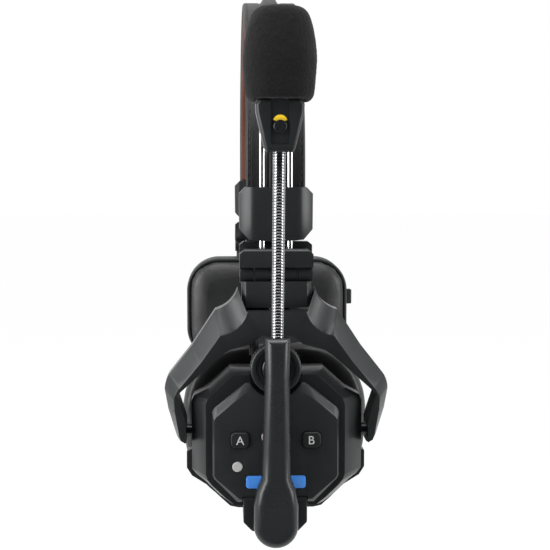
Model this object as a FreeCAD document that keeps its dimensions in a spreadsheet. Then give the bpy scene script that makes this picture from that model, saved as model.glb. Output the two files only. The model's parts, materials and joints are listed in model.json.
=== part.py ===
import FreeCAD, Part
import math
import os
import Sketcher
from FreeCAD import Placement, Rotation, Vector

# Crew headset with one ear cup, a boom microphone swung straight up, and a temple rest
# with the battery on the far side. Millimetres. +Z is up, +X is to the right when the ear
# cup faces the viewer, and the ear cup is on the -Y side. The origin is the crown rest, the
# lowest point of the cushion at the top of the headband.

doc = FreeCAD.newDocument("crew_headset")
dims = doc.addObject("Spreadsheet::Sheet", "dims")

# Single sizes: name, value, meaning
SIZES = [
    ("crown_z", 5.9, "height of the spring strip at the crown"),
    ("crown_radius", 85.9, "radius of the strip over the crown"),
    ("side_radius", 52.1, "radius of the strip at the temples"),
    ("side_turn", 45.0, "angle where the crown arc meets the side arc, degrees"),
    ("cover_foot_z", -72.0, "foot of the strip and cover inside the clamps"),
    ("pad_foot_z", -61.1, "foot of the leather cushion above the clamps"),
    ("strip_half_width", 7.0, "half width of the spring strip"),
    ("strip_thick", 0.6, "thickness of the spring strip"),
    ("band_half_width", 10.0, "half width of the headband"),
    ("cover_thick", 1.8, "thickness of the outer cover"),
    ("duct_half_width", 3.0, "half width of the cable duct on the cover"),
    ("duct_rise", 1.8, "rise of the cable duct above the cover"),
    ("cable_radius", 0.9, "radius of the cable in the duct"),
    ("duct_bore_radius", 1.0, "radius of the duct's bore"),
    ("cushion_half_width", 9.6, "half width of the headband cushion"),
    ("cushion_depth", 5.6, "depth of the headband cushion at its crown"),
    ("cushion_side", 2.6, "depth of the headband cushion at its sides"),
    ("fit_gap", 0.15, "gap round pieces that seat in one another"),
    ("clamp_back_y", 70.5, "distance of the clamp's inner face from the middle"),
    ("clamp_depth", 13.2, "depth of a clamp"),
    ("clamp_foot_radius", 85.0, "radius of the clamp's lower edge"),
    ("rod_radius", 1.0, "radius of a size rod"),
    ("rod_bore_radius", 1.05, "radius of the rod tunnels"),
    ("rod_half_pitch", 4.7, "half the distance between the rods"),
    ("rod_line_y", 79.6, "distance of the rods from the middle"),
    ("rod_top_z", -36.0, "top of the rods"),
    ("rod_foot_z", -85.5, "foot of the rods"),
    ("rod_stop_radius", 1.35, "radius of the rods' end stops"),
    ("rod_stop_length", 2.0, "length of the rods' end stops"),
    ("screw_head_radius", 1.4, "radius of the small screw heads"),
    ("screw_head_thick", 1.0, "thickness of the small screw heads"),
    ("screw_shank_radius", 0.75, "radius of the small screws"),
    ("screw_length", 3.5, "length of the small screws"),
    ("clamp_screw_x", 7.4, "half the distance between the clamp screws"),
    ("clamp_screw_z", -76.0, "height of the clamp screws"),
    ("block_back_y", 73.5, "distance of the hinge block's inner face from the middle"),
    ("block_depth", 12.0, "depth of the hinge block"),
    ("block_step_y", 78.0, "distance of the step behind the rods"),
    ("block_ledge_z", -82.0, "height of the hinge block's front ledge"),
    ("knuckle_corner", 1.5, "rounding of the knuckle's lower corners"),
    ("hinge_y", 81.0, "distance of the fold axis from the middle"),
    ("hinge_z", -90.6, "height of the fold axis"),
    ("barrel_radius", 2.8, "radius of the hinge barrel"),
    ("barrel_gap_radius", 3.1, "radius of the hollows round the barrel"),
    ("barrel_half_length", 12.2, "half length of the hinge barrel"),
    ("barrel_inner_half", 7.3, "half length of the barrel's middle part"),
    ("barrel_split_half", 7.5, "half distance between the barrel's outer parts"),
    ("pin_radius", 1.2, "radius of the hinge pin"),
    ("pin_bore_radius", 1.24, "radius of the pin's bore"),
    ("swivel_y", 80.0, "distance of the swivel axis from the middle"),
    ("swivel_radius", 2.4, "radius of the swivel bolt"),
    ("swivel_bore_radius", 2.45, "radius of the swivel bore"),
    ("swivel_head_radius", 4.0, "radius of the swivel bolt's head"),
    ("swivel_seat_radius", 4.3, "radius of the seat for the swivel bolt's head"),
    ("swivel_top_z", -95.5, "top of the swivel bolt"),
    ("swivel_head_z", -108.2, "top of the swivel bolt's head"),
    ("swivel_foot_z", -110.0, "foot of the swivel bolt"),
    ("washer_radius", 4.6, "radius of the swivel washer"),
    ("washer_top_z", -101.7, "top of the swivel washer"),
    ("washer_foot_z", -102.3, "foot of the swivel washer"),
    ("yoke_back_y", 76.0, "distance of the yoke's inner face from the middle"),
    ("yoke_edge_y", 84.0, "distance where the yoke's bevel starts"),
    ("yoke_front_y", 90.0, "distance of the yoke's front face from the middle"),
    ("yoke_scoop_radius", 10.5, "radius of the scoops in the yoke's shoulders"),
    ("yoke_elbow_radius", 9.0, "radius of the yoke's elbows"),
    ("tilt_y", 83.0, "distance of the tilt axis from the middle"),
    ("tilt_z", -143.0, "height of the tilt axis"),
    ("tilt_pin_radius", 2.0, "radius of the tilt pins"),
    ("tilt_bore_radius", 2.05, "radius of the cup's bores for the tilt pins"),
    ("tilt_pin_inner_x", 25.4, "inner end of the tilt pins"),
    ("tilt_pin_outer_x", 32.4, "outer end of the tilt pins"),
    ("tilt_ring_radius", 2.3, "radius of the ridges on the tilt pins"),
    ("tilt_ring_width", 0.35, "width of one ridge"),
    ("tilt_ring_pitch", 0.55, "distance between ridges"),
    ("tilt_ring_first_x", 28.6, "place of the first ridge"),
    ("cup_back_y", 78.0, "distance of the cup shell's open back from the middle"),
    ("cup_edge_y", 86.0, "distance where the cup shell's bevel starts"),
    ("cup_front_y", 93.3, "distance of the cup shell's front from the middle"),
    ("cup_inner_y", 88.0, "depth reached by the wide hollow"),
    ("cup_board_y", 91.3, "depth reached by the board's hollow"),
    ("plate_edge_y", 95.2, "distance where the control plate's bevel starts"),
    ("plate_front_y", 97.0, "distance of the control plate's flat from the middle"),
    ("face_x", -0.7, "place of the middle of the controls on the cup"),
    ("knob_z", -120.3, "height of the knob's axis"),
    ("knob_radius", 8.4, "radius of the volume knob"),
    ("knob_back_y", 92.5, "rear of the volume knob"),
    ("knob_front_y", 98.2, "front of the volume knob"),
    ("knob_seat_radius", 9.0, "radius of the shell's recess behind the knob"),
    ("knob_notch_radius", 9.8, "radius of the notch round the knob"),
    ("boss_radius", 5.9, "radius of the knob's boss"),
    ("boss_back_y", 80.0, "rear of the knob's boss"),
    ("boss_front_y", 92.0, "front of the knob's boss"),
    ("encoder_radius", 5.0, "radius of the encoder"),
    ("encoder_back_y", 84.0, "rear of the encoder"),
    ("encoder_front_y", 91.2, "front of the encoder"),
    ("shaft_radius", 2.0, "radius of the knob's shaft"),
    ("shaft_bore_radius", 2.03, "radius of the knob's bore"),
    ("shaft_front_y", 96.2, "front end of the knob's shaft"),
    ("button_x", 11.7, "distance of the buttons from the middle"),
    ("button_z", -143.9, "height of the buttons"),
    ("button_half_width", 3.1, "half width of a button"),
    ("button_half_height", 2.6, "half height of a button"),
    ("button_corner", 1.6, "corner radius of a button"),
    ("button_front_y", 97.8, "front of a button"),
    ("flange_front_y", 94.7, "front of a button's flange"),
    ("flange_back_y", 94.0, "rear of a button's flange"),
    ("flange_lip", 0.7, "how far a button's flange stands out"),
    ("stem_back_y", 92.6, "rear of a button's stem"),
    ("stem_radius", 1.2, "radius of a button's stem"),
    ("light_x", -12.6, "place of the indicator lens"),
    ("light_z", -152.8, "height of the indicator lens"),
    ("light_radius", 1.7, "radius of the indicator lens"),
    ("bar_half_width", 4.7, "half width of the light bar"),
    ("bar_half_height", 1.3, "half height of the light bar"),
    ("bar_z", -142.9, "height of the light bar"),
    ("bar_corner", 0.9, "corner radius of the light bar"),
    ("badge_half_width", 9.8, "half width of the badge plate"),
    ("badge_half_height", 2.1, "half height of the badge plate"),
    ("badge_z", -157.9, "height of the badge plate"),
    ("badge_corner", 1.0, "corner radius of the badge plate"),
    ("badge_back_y", 96.4, "rear of the badge plate"),
    ("badge_front_y", 97.2, "front of the badge plate"),
    ("board_half_width", 18.5, "half width of the circuit board"),
    ("board_half_height", 12.5, "half height of the circuit board"),
    ("board_z", -145.4, "height of the circuit board"),
    ("board_back_y", 89.2, "rear of the circuit board"),
    ("board_front_y", 90.4, "front of the circuit board"),
    ("switch_front_y", 91.8, "front of the board's switches"),
    ("switch_half", 1.9, "half width of a board switch"),
    ("rear_z", -144.6, "height of the middle of the cup's rear moulding"),
    ("rear_front_y", 71.2, "inner face of the cup's rear moulding"),
    ("baffle_seat_y", 76.0, "seat of the baffle"),
    ("baffle_radius", 17.2, "radius of the baffle"),
    ("baffle_face_y", 74.6, "inner face of the baffle"),
    ("baffle_hole_radius", 1.7, "radius of the baffle's holes"),
    ("baffle_hole_ring", 9.0, "radius of the ring of holes"),
    ("mesh_face_y", 74.1, "inner face of the speaker cloth"),
    ("driver_bore_radius", 15.8, "radius of the bore for the driver"),
    ("driver_flange_radius", 15.5, "radius of the driver's flange"),
    ("driver_body_radius", 13.0, "radius of the driver's basket"),
    ("driver_magnet_radius", 8.0, "radius of the driver's magnet"),
    ("driver_flange_y", 77.5, "rear of the driver's flange"),
    ("driver_body_y", 81.5, "rear of the driver's basket"),
    ("driver_magnet_y", 84.5, "rear of the driver's magnet"),
    ("ear_pad_half_width", 30.8, "half width of the ear cushion"),
    ("ear_pad_half_height", 29.0, "half height of the ear cushion"),
    ("ear_pad_corner", 25.5, "corner radius of the ear cushion"),
    ("ear_pad_z", -145.5, "height of the middle of the ear cushion"),
    ("ear_pad_width", 17.0, "width of the ear cushion's ring"),
    ("ear_pad_depth", 15.2, "depth of the ear cushion at its crown"),
    ("ear_pad_side", 10.4, "depth of the ear cushion where the crown starts"),
    ("ear_pad_draw", 1.9, "how far the cushion's sides draw in at the seam"),
    ("mount_half_width", 10.5, "half width of the boom mount"),
    ("mount_x", -0.9, "place of the boom's pivot"),
    ("mount_front_y", 97.5, "front of the boom mount"),
    ("pivot_z", -170.8, "height of the boom's pivot"),
    ("pivot_radius", 3.0, "radius of the pivot post"),
    ("pivot_bore_radius", 3.05, "radius of the boom's bore"),
    ("pivot_back_y", 90.0, "rear of the pivot post"),
    ("pivot_front_y", 101.8, "front of the pivot post"),
    ("friction_radius", 5.6, "radius of the friction washer"),
    ("arm_back_y", 98.9, "rear of the boom arm"),
    ("arm_front_y", 107.2, "front of the boom arm"),
    ("arm_round", 3.4, "rounding of the boom arm's front edges"),
    ("arm_rear_round", 1.6, "rounding of the boom arm's rear edges"),
    ("boom_y", 103.0, "distance of the boom's tube from the middle"),
    ("boom_lean", 0.48, "lean of the boom, degrees"),
    ("neck_radius", 2.05, "radius of the gooseneck over its ribs"),
    ("neck_groove_radius", 1.72, "radius of the gooseneck in its grooves"),
    ("neck_end_radius", 1.8, "radius of the gooseneck's plain ends"),
    ("neck_bore_radius", 0.8, "radius of the gooseneck's bore"),
    ("neck_socket_radius", 2.1, "radius of the sockets for the gooseneck"),
    ("neck_top_z", -44.0, "top end of the gooseneck"),
    ("neck_rib_top_z", -47.5, "top of the gooseneck's ribs"),
    ("neck_rib_foot_z", -112.5, "foot of the gooseneck's ribs"),
    ("neck_foot_z", -121.0, "foot end of the gooseneck"),
    ("neck_ribs", 50, "number of ribs on the gooseneck"),
    ("mic_back_y", 99.2, "rear of the microphone housing"),
    ("mic_front_y", 109.4, "front of the microphone housing"),
    ("mic_round", 1.4, "rounding of the microphone housing's edges"),
    ("mic_panel_y", 108.7, "floor of the microphone housing's panel"),
    ("mic_panel_half", 3.0, "half width of the microphone housing's panel"),
    ("mic_panel_foot_z", -47.6, "foot of the microphone housing's panel"),
    ("mic_switch_z", -42.1, "height of the microphone switch"),
    ("mic_switch_radius", 2.15, "radius of the microphone switch"),
    ("mic_switch_front_y", 109.8, "front of the microphone switch"),
    ("mic_stem_half_width", 0.9, "half width of the microphone switch's stem"),
    ("mic_stem_half_height", 0.6, "half height of the microphone switch's stem"),
    ("mic_stem_z", -43.2, "height of the microphone switch's stem"),
    ("mic_switch_travel", 1.8, "travel of the microphone switch"),
    ("marker_radius", 2.3, "radius of the yellow marker"),
    ("marker_z", -40.6, "height of the yellow marker's centre"),
    ("capsule_radius", 4.9, "radius of the microphone capsule"),
    ("capsule_top_z", -13.5, "top of the microphone capsule"),
    ("foam_top_z", -4.2, "top of the windscreen"),
    ("foam_foot_z", -34.4, "foot of the windscreen"),
    ("foam_radius", 11.4, "largest radius of the windscreen"),
    ("foam_wide_z", -26.5, "height where the windscreen is widest"),
    ("foam_shoulder_radius", 9.6, "radius of the windscreen at its shoulder"),
    ("foam_shoulder_z", -8.0, "height of the windscreen's shoulder"),
    ("foam_top_radius", 5.6, "radius of the windscreen's flat top"),
    ("foam_foot_radius", 8.3, "radius of the windscreen's foot"),
    ("foam_bore_top_z", -12.5, "top of the windscreen's bore"),
    ("boot_x", -7.6, "place of the lead between the yoke and the cup"),
    ("boot_y", 84.0, "distance of the lead from the middle"),
    ("boot_top_radius", 1.8, "radius of the lead's boot at its top"),
    ("boot_foot_radius", 1.55, "radius of the lead's boot at its foot"),
    ("boot_top_z", -111.0, "top of the lead's boot"),
    ("boot_foot_z", -117.6, "foot of the lead's boot"),
    ("lead_radius", 0.8, "radius of the lead"),
    ("lead_top_z", -118.2, "top of the lead below the boot"),
    ("lead_foot_z", -123.4, "foot of the lead inside the cup"),
    ("temple_x", 1.4, "place of the middle of the temple rest"),
    ("temple_z", -117.0, "height of the middle of the temple rest"),
    ("temple_half_width", 34.9, "half width of the temple rest"),
    ("temple_half_height", 22.2, "half height of the temple rest"),
    ("temple_corner", 14.0, "corner radius of the temple rest"),
    ("temple_outer_y", 70.5, "outer face of the temple box"),
    ("temple_seam_y", 56.5, "seam between the temple box and its lid"),
    ("temple_inner_y", 54.4, "inner edge of the temple lid"),
    ("temple_seat_y", 55.2, "seat of the temple cushion"),
    ("temple_wall", 1.8, "wall thickness of the temple box"),
    ("temple_floor_y", 68.2, "floor of the temple box's hollow"),
    ("temple_round", 2.6, "rounding of the temple box's outer edge"),
    ("rest_margin", 1.2, "width of the rim round the temple cushion"),
    ("rest_swell_y", 53.6, "level where the temple cushion is widest"),
    ("rest_edge_y", 51.4, "level where the temple cushion's crown starts"),
    ("rest_crown_y", 49.6, "top of the temple cushion's crown"),
    ("battery_half_width", 27.0, "half width of the battery"),
    ("battery_half_height", 16.5, "half height of the battery"),
    ("battery_back_y", 67.8, "outer face of the battery"),
    ("battery_front_y", 58.6, "inner face of the battery"),
    ("door_half_width", 20.0, "half width of the battery door"),
    ("door_top_z", -121.0, "top of the battery door"),
    ("door_foot_z", -138.6, "foot of the battery door"),
    ("door_back_y", 69.3, "inner face of the battery door"),
    ("door_face_y", 70.7, "outer face of the battery door"),
    ("power_z", -112.3, "height of the power switch"),
    ("power_y", 62.4, "distance of the power switch from the middle"),
    ("power_half_height", 3.2, "half height of the power switch"),
    ("power_half_depth", 1.7, "half depth of the power switch"),
    ("power_proud_x", 39.0, "outer face of the power switch"),
    ("power_face_x", 36.45, "inner face of the power switch's cap"),
    ("power_stem_x", 33.2, "inner end of the power switch's stem"),
    ("power_travel", 2.0, "travel of the power switch"),
    ("bracket_plate_y", 76.0, "outer face of the temple bracket's plate"),
    ("bracket_neck_y", 84.5, "outer face of the temple bracket's neck"),
    ("bracket_neck_foot_z", -110.6, "foot of the temple bracket's neck"),
    ("bracket_screw_x", 9.0, "half the distance between the bracket screws"),
    ("bracket_screw_z", -115.0, "height of the bracket screws"),
]

# Corners of the outlines, on the +X side, as distance from the middle and height
POINTS = [
    ("clamp_top", 10.2, -61.5),
    ("clamp_shoulder", 12.4, -63.7),
    ("clamp_hip", 12.3, -75.6),
    ("clamp_foot", 9.2, -79.0),
    ("block_top", 10.9, -79.9),
    ("block_shoulder", 12.3, -81.0),
    ("block_foot", 12.3, -88.2),
    ("knuckle_top", 11.6, -92.9),
    ("knuckle_side", 11.6, -100.1),
    ("knuckle_foot", 10.1, -101.6),
    ("yoke_seat", 11.0, -102.4),
    ("yoke_throat", 12.6, -100.8),
    ("yoke_ear", 13.0, -95.2),
    ("yoke_scoop", 20.5, -102.4),
    ("yoke_arm", 28.4, -114.4),
    ("yoke_elbow", 35.9, -123.9),
    ("yoke_corner", 37.5, -129.0),
    ("yoke_forearm", 36.3, -135.6),
    ("yoke_wrist", 33.5, -144.8),
    ("yoke_tip", 32.6, -146.4),
    ("yoke_nail", 30.3, -147.1),
    ("yoke_palm", 30.2, -139.5),
    ("yoke_cuff", 31.2, -136.2),
    ("yoke_pit", 33.2, -130.2),
    ("yoke_arch", 18.6, -117.0),
    ("yoke_vault", 15.9, -115.2),
    ("yoke_spring", 8.7, -113.3),
    ("yoke_key", 5.2, -110.4),
    ("face_seat", 9.4, -102.4),
    ("face_throat", 9.6, -102.7),
    ("face_ear", 9.9, -103.1),
    ("face_scoop", 18.8, -110.4),
    ("face_arm", 25.4, -119.6),
    ("face_elbow", 32.2, -127.8),
    ("face_corner", 34.2, -131.4),
    ("face_forearm", 34.0, -135.4),
    ("face_wrist", 32.5, -144.2),
    ("face_tip", 31.9, -145.6),
    ("face_nail", 30.5, -146.4),
    ("shell_top", 15.6, -121.5),
    ("shell_shoulder", 19.0, -124.6),
    ("shell_waist", 23.0, -128.3),
    ("shell_turn", 27.7, -130.9),
    ("shell_side", 28.5, -132.7),
    ("shell_hip", 28.4, -155.6),
    ("shell_heel", 27.0, -157.4),
    ("shell_ramp", 24.2, -159.6),
    ("shell_toe", 19.2, -164.6),
    ("shell_foot", 15.6, -167.3),
    ("front_top", 13.8, -123.0),
    ("front_shoulder", 17.0, -125.9),
    ("front_waist", 20.6, -129.3),
    ("front_turn", 22.3, -130.9),
    ("front_side", 23.0, -132.9),
    ("front_hip", 23.0, -156.2),
    ("front_heel", 22.4, -158.0),
    ("front_ramp", 20.8, -160.0),
    ("front_toe", 16.6, -164.0),
    ("front_foot", 13.6, -166.4),
    ("hollow_top", 10.8, -124.4),
    ("hollow_shoulder", 16.4, -126.0),
    ("hollow_turn", 23.8, -132.0),
    ("hollow_side", 25.4, -134.0),
    ("hollow_hip", 25.4, -154.6),
    ("hollow_ramp", 22.4, -158.0),
    ("hollow_foot", 14.6, -165.0),
    ("rear_top", 15.0, -122.4),
    ("rear_turn", 26.8, -131.8),
    ("rear_side", 28.0, -134.0),
    ("rear_waist", 28.2, -150.4),
    ("rear_wing", 30.4, -151.6),
    ("rear_hip", 30.4, -157.2),
    ("rear_heel", 28.6, -160.0),
    ("rear_ramp", 23.2, -163.4),
    ("rear_toe", 18.9, -167.6),
    ("rear_low", 15.6, -170.6),
    ("rear_foot", 12.8, -171.2),
    ("plate_top", 9.8, -125.3),
    ("plate_turn", 20.0, -133.4),
    ("plate_side", 20.9, -134.9),
    ("plate_hip", 20.9, -155.9),
    ("plate_ramp", 20.2, -157.3),
    ("plate_foot", 12.6, -164.9),
    ("flat_top", 11.6, -129.8),
    ("flat_turn", 19.6, -136.4),
    ("flat_side", 20.2, -137.4),
    ("flat_hip", 20.2, -155.7),
    ("flat_ramp", 19.6, -156.8),
    ("flat_foot", 11.9, -163.6),
    ("arm_top", 4.1, -109.2),
    ("arm_waist", 3.95, -122.0),
    ("arm_mid", 4.5, -146.0),
    ("arm_low", 4.7, -155.0),
    ("arm_flare", 6.3, -159.0),
    ("arm_cheek", 7.2, -164.2),
    ("arm_hub", 7.2, -170.8),
    ("mic_top", 6.4, -33.4),
    ("mic_shoulder", 7.7, -35.0),
    ("mic_side", 7.6, -37.6),
    ("mic_low", 4.9, -48.8),
    ("mic_foot", 4.2, -50.0),
    ("bracket_top", 9.8, -102.4),
    ("bracket_neck", 9.8, -106.0),
    ("bracket_flare", 13.4, -110.0),
    ("bracket_foot", 13.4, -117.6),
    ("bracket_toe", 11.4, -119.6),
]

row = 0


def cell(alias, value, note):
    global row
    row += 1
    dims.set(f"A{row}", note)
    dims.set(f"B{row}", str(value))
    dims.setAlias(f"B{row}", alias)


for alias, value, note in SIZES:
    cell(alias, value, note)
for alias, across, height in POINTS:
    cell(f"{alias}_x", across, f"{alias}, distance from the middle")
    cell(f"{alias}_z", height, f"{alias}, height")
doc.recompute()

pieces = []


def size(alias):
    return float(dims.get(alias))


def corner(alias, radius=None):
    return (f"dims.{alias}_x", f"dims.{alias}_z", radius)


def corners(*aliases):
    return [corner(alias) for alias in aliases]


def minus(expression):
    return f"-({expression})"


def mirrored(half):
    left = []
    for index in range(len(half) - 1, -1, -1):
        across, height, _ = half[index]
        if across == "0":
            continue
        radius = half[index - 1][2] if index > 0 else None
        left.append((minus(across), height, radius))
    return half + left


def box_corners(left, right, foot, top):
    return [(left, top, None), (right, top, None), (right, foot, None), (left, foot, None)]


def rounded_box(middle_x, middle_z, half_width, half_height, radius):
    left = f"{middle_x} - {half_width}"
    right = f"{middle_x} + {half_width}"
    top = f"{middle_z} + {half_height}"
    foot = f"{middle_z} - {half_height}"
    turn = minus(radius)
    return [
        (f"{left} + {radius}", top, None),
        (f"{right} - {radius}", top, turn),
        (right, f"{top} - {radius}", None),
        (right, f"{foot} + {radius}", turn),
        (f"{right} - {radius}", foot, None),
        (f"{left} + {radius}", foot, turn),
        (left, f"{foot} + {radius}", None),
        (left, f"{top} - {radius}", turn),
    ]


def piece(label):
    body = doc.addObject("PartDesign::Body", label)
    body.Label = label
    pieces.append(body)
    return body


def sketch_on(body, name, role, offset="0", across="0", up="0"):
    sketch = body.newObject("Sketcher::SketchObject", name)
    plane = [item for item in body.Origin.OriginFeatures if item.Role == role][0]
    sketch.AttachmentSupport = [(plane, "")]
    sketch.MapMode = "FlatFace"
    for letter, expression in (("x", across), ("y", up), ("z", offset)):
        if expression != "0":
            sketch.setExpression(f"AttachmentOffset.Base.{letter}", expression)
    return sketch


def value_of(sketch, expression):
    return float(sketch.evalExpression(expression))


def arc_between(start, end, radius):
    # a positive radius turns left and a negative one turns right, by less than a half circle
    chord = end - start
    half = chord.Length / 2
    rise = math.sqrt(max(radius * radius - half * half, 0))
    side = 1 if radius > 0 else -1
    normal = Vector(-chord.y, chord.x, 0).normalize()
    centre = (start + end) / 2 + normal * rise * side
    circle = Part.Circle(centre, Vector(0, 0, 1), abs(radius))
    first = math.atan2(start.y - centre.y, start.x - centre.x)
    last = math.atan2(end.y - centre.y, end.x - centre.x)
    if side > 0:
        return Part.ArcOfCircle(circle, first, last), 1, 2
    return Part.ArcOfCircle(circle, last, first), 2, 1


def fix_point(sketch, geometry, end, point):
    for kind, expression in (("DistanceX", point[0]), ("DistanceY", point[1])):
        place = value_of(sketch, expression)
        index = sketch.addConstraint(Sketcher.Constraint(kind, -1, 1, geometry, end, place))
        if expression != "0":
            sketch.setExpression(f"Constraints[{index}]", expression)


def outline(sketch, points, closed=True):
    places = [Vector(value_of(sketch, p[0]), value_of(sketch, p[1]), 0) for p in points]
    count = len(points) if closed else len(points) - 1
    ends = []
    for index in range(count):
        start = places[index]
        end = places[(index + 1) % len(points)]
        radius = points[index][2]
        if radius is None:
            geometry = sketch.addGeometry(Part.LineSegment(start, end), False)
            ends.append((geometry, 1, 2))
        else:
            curve, first, last = arc_between(start, end, value_of(sketch, radius))
            geometry = sketch.addGeometry(curve, False)
            ends.append((geometry, first, last))
    for index in range(count if closed else count - 1):
        geometry, _, last = ends[index]
        following, first, _ = ends[(index + 1) % count]
        sketch.addConstraint(Sketcher.Constraint("Coincident", geometry, last, following, first))
    for index in range(count):
        fix_point(sketch, ends[index][0], ends[index][1], points[index])
        radius = points[index][2]
        if radius is not None:
            span = abs(value_of(sketch, radius))
            made = sketch.addConstraint(Sketcher.Constraint("Radius", ends[index][0], span))
            sketch.setExpression(f"Constraints[{made}]", f"abs({radius})")
    if not closed:
        fix_point(sketch, ends[-1][0], ends[-1][2], points[-1])
    return sketch


def circle(sketch, across, up, radius):
    centre = Vector(value_of(sketch, across), value_of(sketch, up), 0)
    curve = Part.Circle(centre, Vector(0, 0, 1), value_of(sketch, radius))
    geometry = sketch.addGeometry(curve, False)
    fix_point(sketch, geometry, 3, (across, up))
    made = sketch.addConstraint(Sketcher.Constraint("Radius", geometry, curve.Radius))
    sketch.setExpression(f"Constraints[{made}]", radius)
    return sketch


def pad(body, sketch, length, turned=False, middle=False):
    feature = body.newObject("PartDesign::Pad", sketch.Name + "_pad")
    feature.Profile = sketch
    feature.setExpression("Length", length)
    feature.Reversed = turned
    if middle:
        feature.SideType = "Symmetric"
    sketch.Visibility = False
    return feature


def pocket(body, sketch, length=None, turned=False, middle=False):
    before = body.Shape.Volume if body.Shape and not body.Shape.isNull() else 0
    feature = body.newObject("PartDesign::Pocket", sketch.Name + "_pocket")
    feature.Profile = sketch
    if length is None:
        feature.Type = "ThroughAll"
    else:
        feature.setExpression("Length", length)
    feature.Reversed = turned
    if middle:
        feature.SideType = "Symmetric"
    doc.recompute()
    if not body.Shape.Volume < before - 1e-6:
        raise RuntimeError(f"{feature.Name} removes nothing")
    return feature


def loft(body, sketches, ruled=True):
    feature = body.newObject("PartDesign::AdditiveLoft", sketches[0].Name + "_loft")
    feature.Profile = sketches[0]
    feature.Sections = sketches[1:]
    feature.Ruled = ruled
    return feature


def revolve(body, sketch, axis):
    feature = body.newObject("PartDesign::Revolution", sketch.Name + "_turn")
    feature.Profile = sketch
    feature.ReferenceAxis = (sketch, [axis])
    feature.Angle = 360
    return feature


def sweep(body, section, spine, cut=False):
    kind = "PartDesign::SubtractivePipe" if cut else "PartDesign::AdditivePipe"
    feature = body.newObject(kind, section.Name + "_sweep")
    feature.Profile = section
    edges = [f"Edge{index + 1}" for index in range(len(spine.Geometry))]
    feature.Spine = (spine, edges)
    return feature


def round_edges(body, base, test, radius):
    doc.recompute()
    names = [f"Edge{i + 1}" for i, edge in enumerate(base.Shape.Edges) if test(edge)]
    if not names:
        raise RuntimeError(f"{body.Label} has no edge to round")
    feature = body.newObject("PartDesign::Fillet", base.Name + "_round")
    feature.Base = (base, names)
    feature.setExpression("Radius", radius)
    return feature


def lies_at_y(edge, level):
    box = edge.BoundBox
    return abs(box.YMin - level) < 1e-4 and abs(box.YMax - level) < 1e-4


def cylinder(label, radius, length, base, direction):
    shape = doc.addObject("Part::Cylinder", label)
    shape.setExpression("Radius", radius)
    shape.setExpression("Height", length)
    turn = Rotation(Vector(0, 0, 1), direction)
    shape.Placement = Placement(Vector(*[float(shape.evalExpression(e)) for e in base]), turn)
    for letter, expression in zip("xyz", base):
        if expression != "0":
            shape.setExpression(f"Placement.Base.{letter}", expression)
    return shape


def joined(label, shapes):
    group = doc.addObject("Part::MultiFuse", label)
    group.Shapes = shapes
    group.Label = label
    pieces.append(group)
    return group


def to_far_side(made):
    made.Placement = Placement(Vector(0, 0, 0), Rotation(Vector(0, 0, 1), 180))


# Headband: steel strip, cover with its cable duct, cable and cushion, all on one arch
ARCH_SPAN = "(dims.crown_radius - dims.side_radius) * sin(dims.side_turn) + dims.side_radius"
ARCH_TURN_Y = "dims.crown_radius * sin(dims.side_turn)"
ARCH_TURN_Z = "dims.crown_z - dims.crown_radius * (1 - cos(dims.side_turn))"
ARCH_LEG_Z = ("dims.crown_z - dims.crown_radius"
              " + (dims.crown_radius - dims.side_radius) * cos(dims.side_turn)")


def arch_spine(body, foot):
    spine = sketch_on(body, body.Label + "_spine", "YZ_Plane")
    side = "-(dims.side_radius)"
    points = [
        (minus(ARCH_SPAN), foot, None),
        (minus(ARCH_SPAN), ARCH_LEG_Z, side),
        (minus(ARCH_TURN_Y), ARCH_TURN_Z, "-(dims.crown_radius)"),
        (ARCH_TURN_Y, ARCH_TURN_Z, side),
        (ARCH_SPAN, ARCH_LEG_Z, None),
        (ARCH_SPAN, foot, None),
    ]
    return outline(spine, points, closed=False)


def band_level(rise):
    return f"-({ARCH_SPAN}) - ({rise})"


def arch_section(body, name, foot):
    return sketch_on(body, name, "XY_Plane", foot)


def make_headband_spring():
    body = piece("headband_spring")
    spine = arch_spine(body, "dims.cover_foot_z")
    section = arch_section(body, "strip_section", "dims.cover_foot_z")
    half = "dims.strip_thick / 2"
    outline(section, box_corners("-(dims.strip_half_width)", "dims.strip_half_width",
                                 band_level(half), band_level(minus(half))))
    sweep(body, section, spine)


COVER_FACE = "dims.strip_thick / 2 + dims.cover_thick"
COVER_BACK = "dims.strip_thick / 2"
DUCT_TOP = "dims.strip_thick / 2 + dims.cover_thick + dims.duct_rise"


def cover_half_section(grow):
    wide = f"dims.band_half_width + {grow}"
    duct = f"dims.duct_half_width + {grow}"
    return [
        (f"{wide} - 0.5", band_level(f"{COVER_BACK} - {grow}"), None),
        (wide, band_level(f"{COVER_BACK} + 0.5"), None),
        (wide, band_level(f"{COVER_FACE} - 0.6"), None),
        (f"{wide} - 1.2", band_level(f"{COVER_FACE} + {grow}"), None),
        (duct, band_level(f"{COVER_FACE} + {grow}"), None),
        (f"{duct} - 0.8", band_level(f"{DUCT_TOP} - 0.3 + {grow}"), None),
        (f"{duct} - 1.5", band_level(f"{DUCT_TOP} + {grow}"), None),
    ]


def make_headband_cover():
    body = piece("headband_cover")
    spine = arch_spine(body, "dims.cover_foot_z")
    section = arch_section(body, "cover_section", "dims.cover_foot_z")
    outline(section, mirrored(cover_half_section("0")))
    sweep(body, section, spine)
    bore = arch_section(body, "duct_section", "dims.cover_foot_z")
    circle(bore, "0", band_level("dims.strip_thick / 2 + dims.cover_thick + 0.3"),
           "dims.duct_bore_radius")
    sweep(body, bore, spine, cut=True)


def make_band_cable():
    body = piece("band_cable")
    spine = arch_spine(body, "dims.cover_foot_z")
    section = arch_section(body, "cable_section", "dims.cover_foot_z")
    circle(section, "0", band_level("dims.strip_thick / 2 + dims.cover_thick + 0.3"),
           "dims.cable_radius")
    sweep(body, section, spine)


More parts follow.
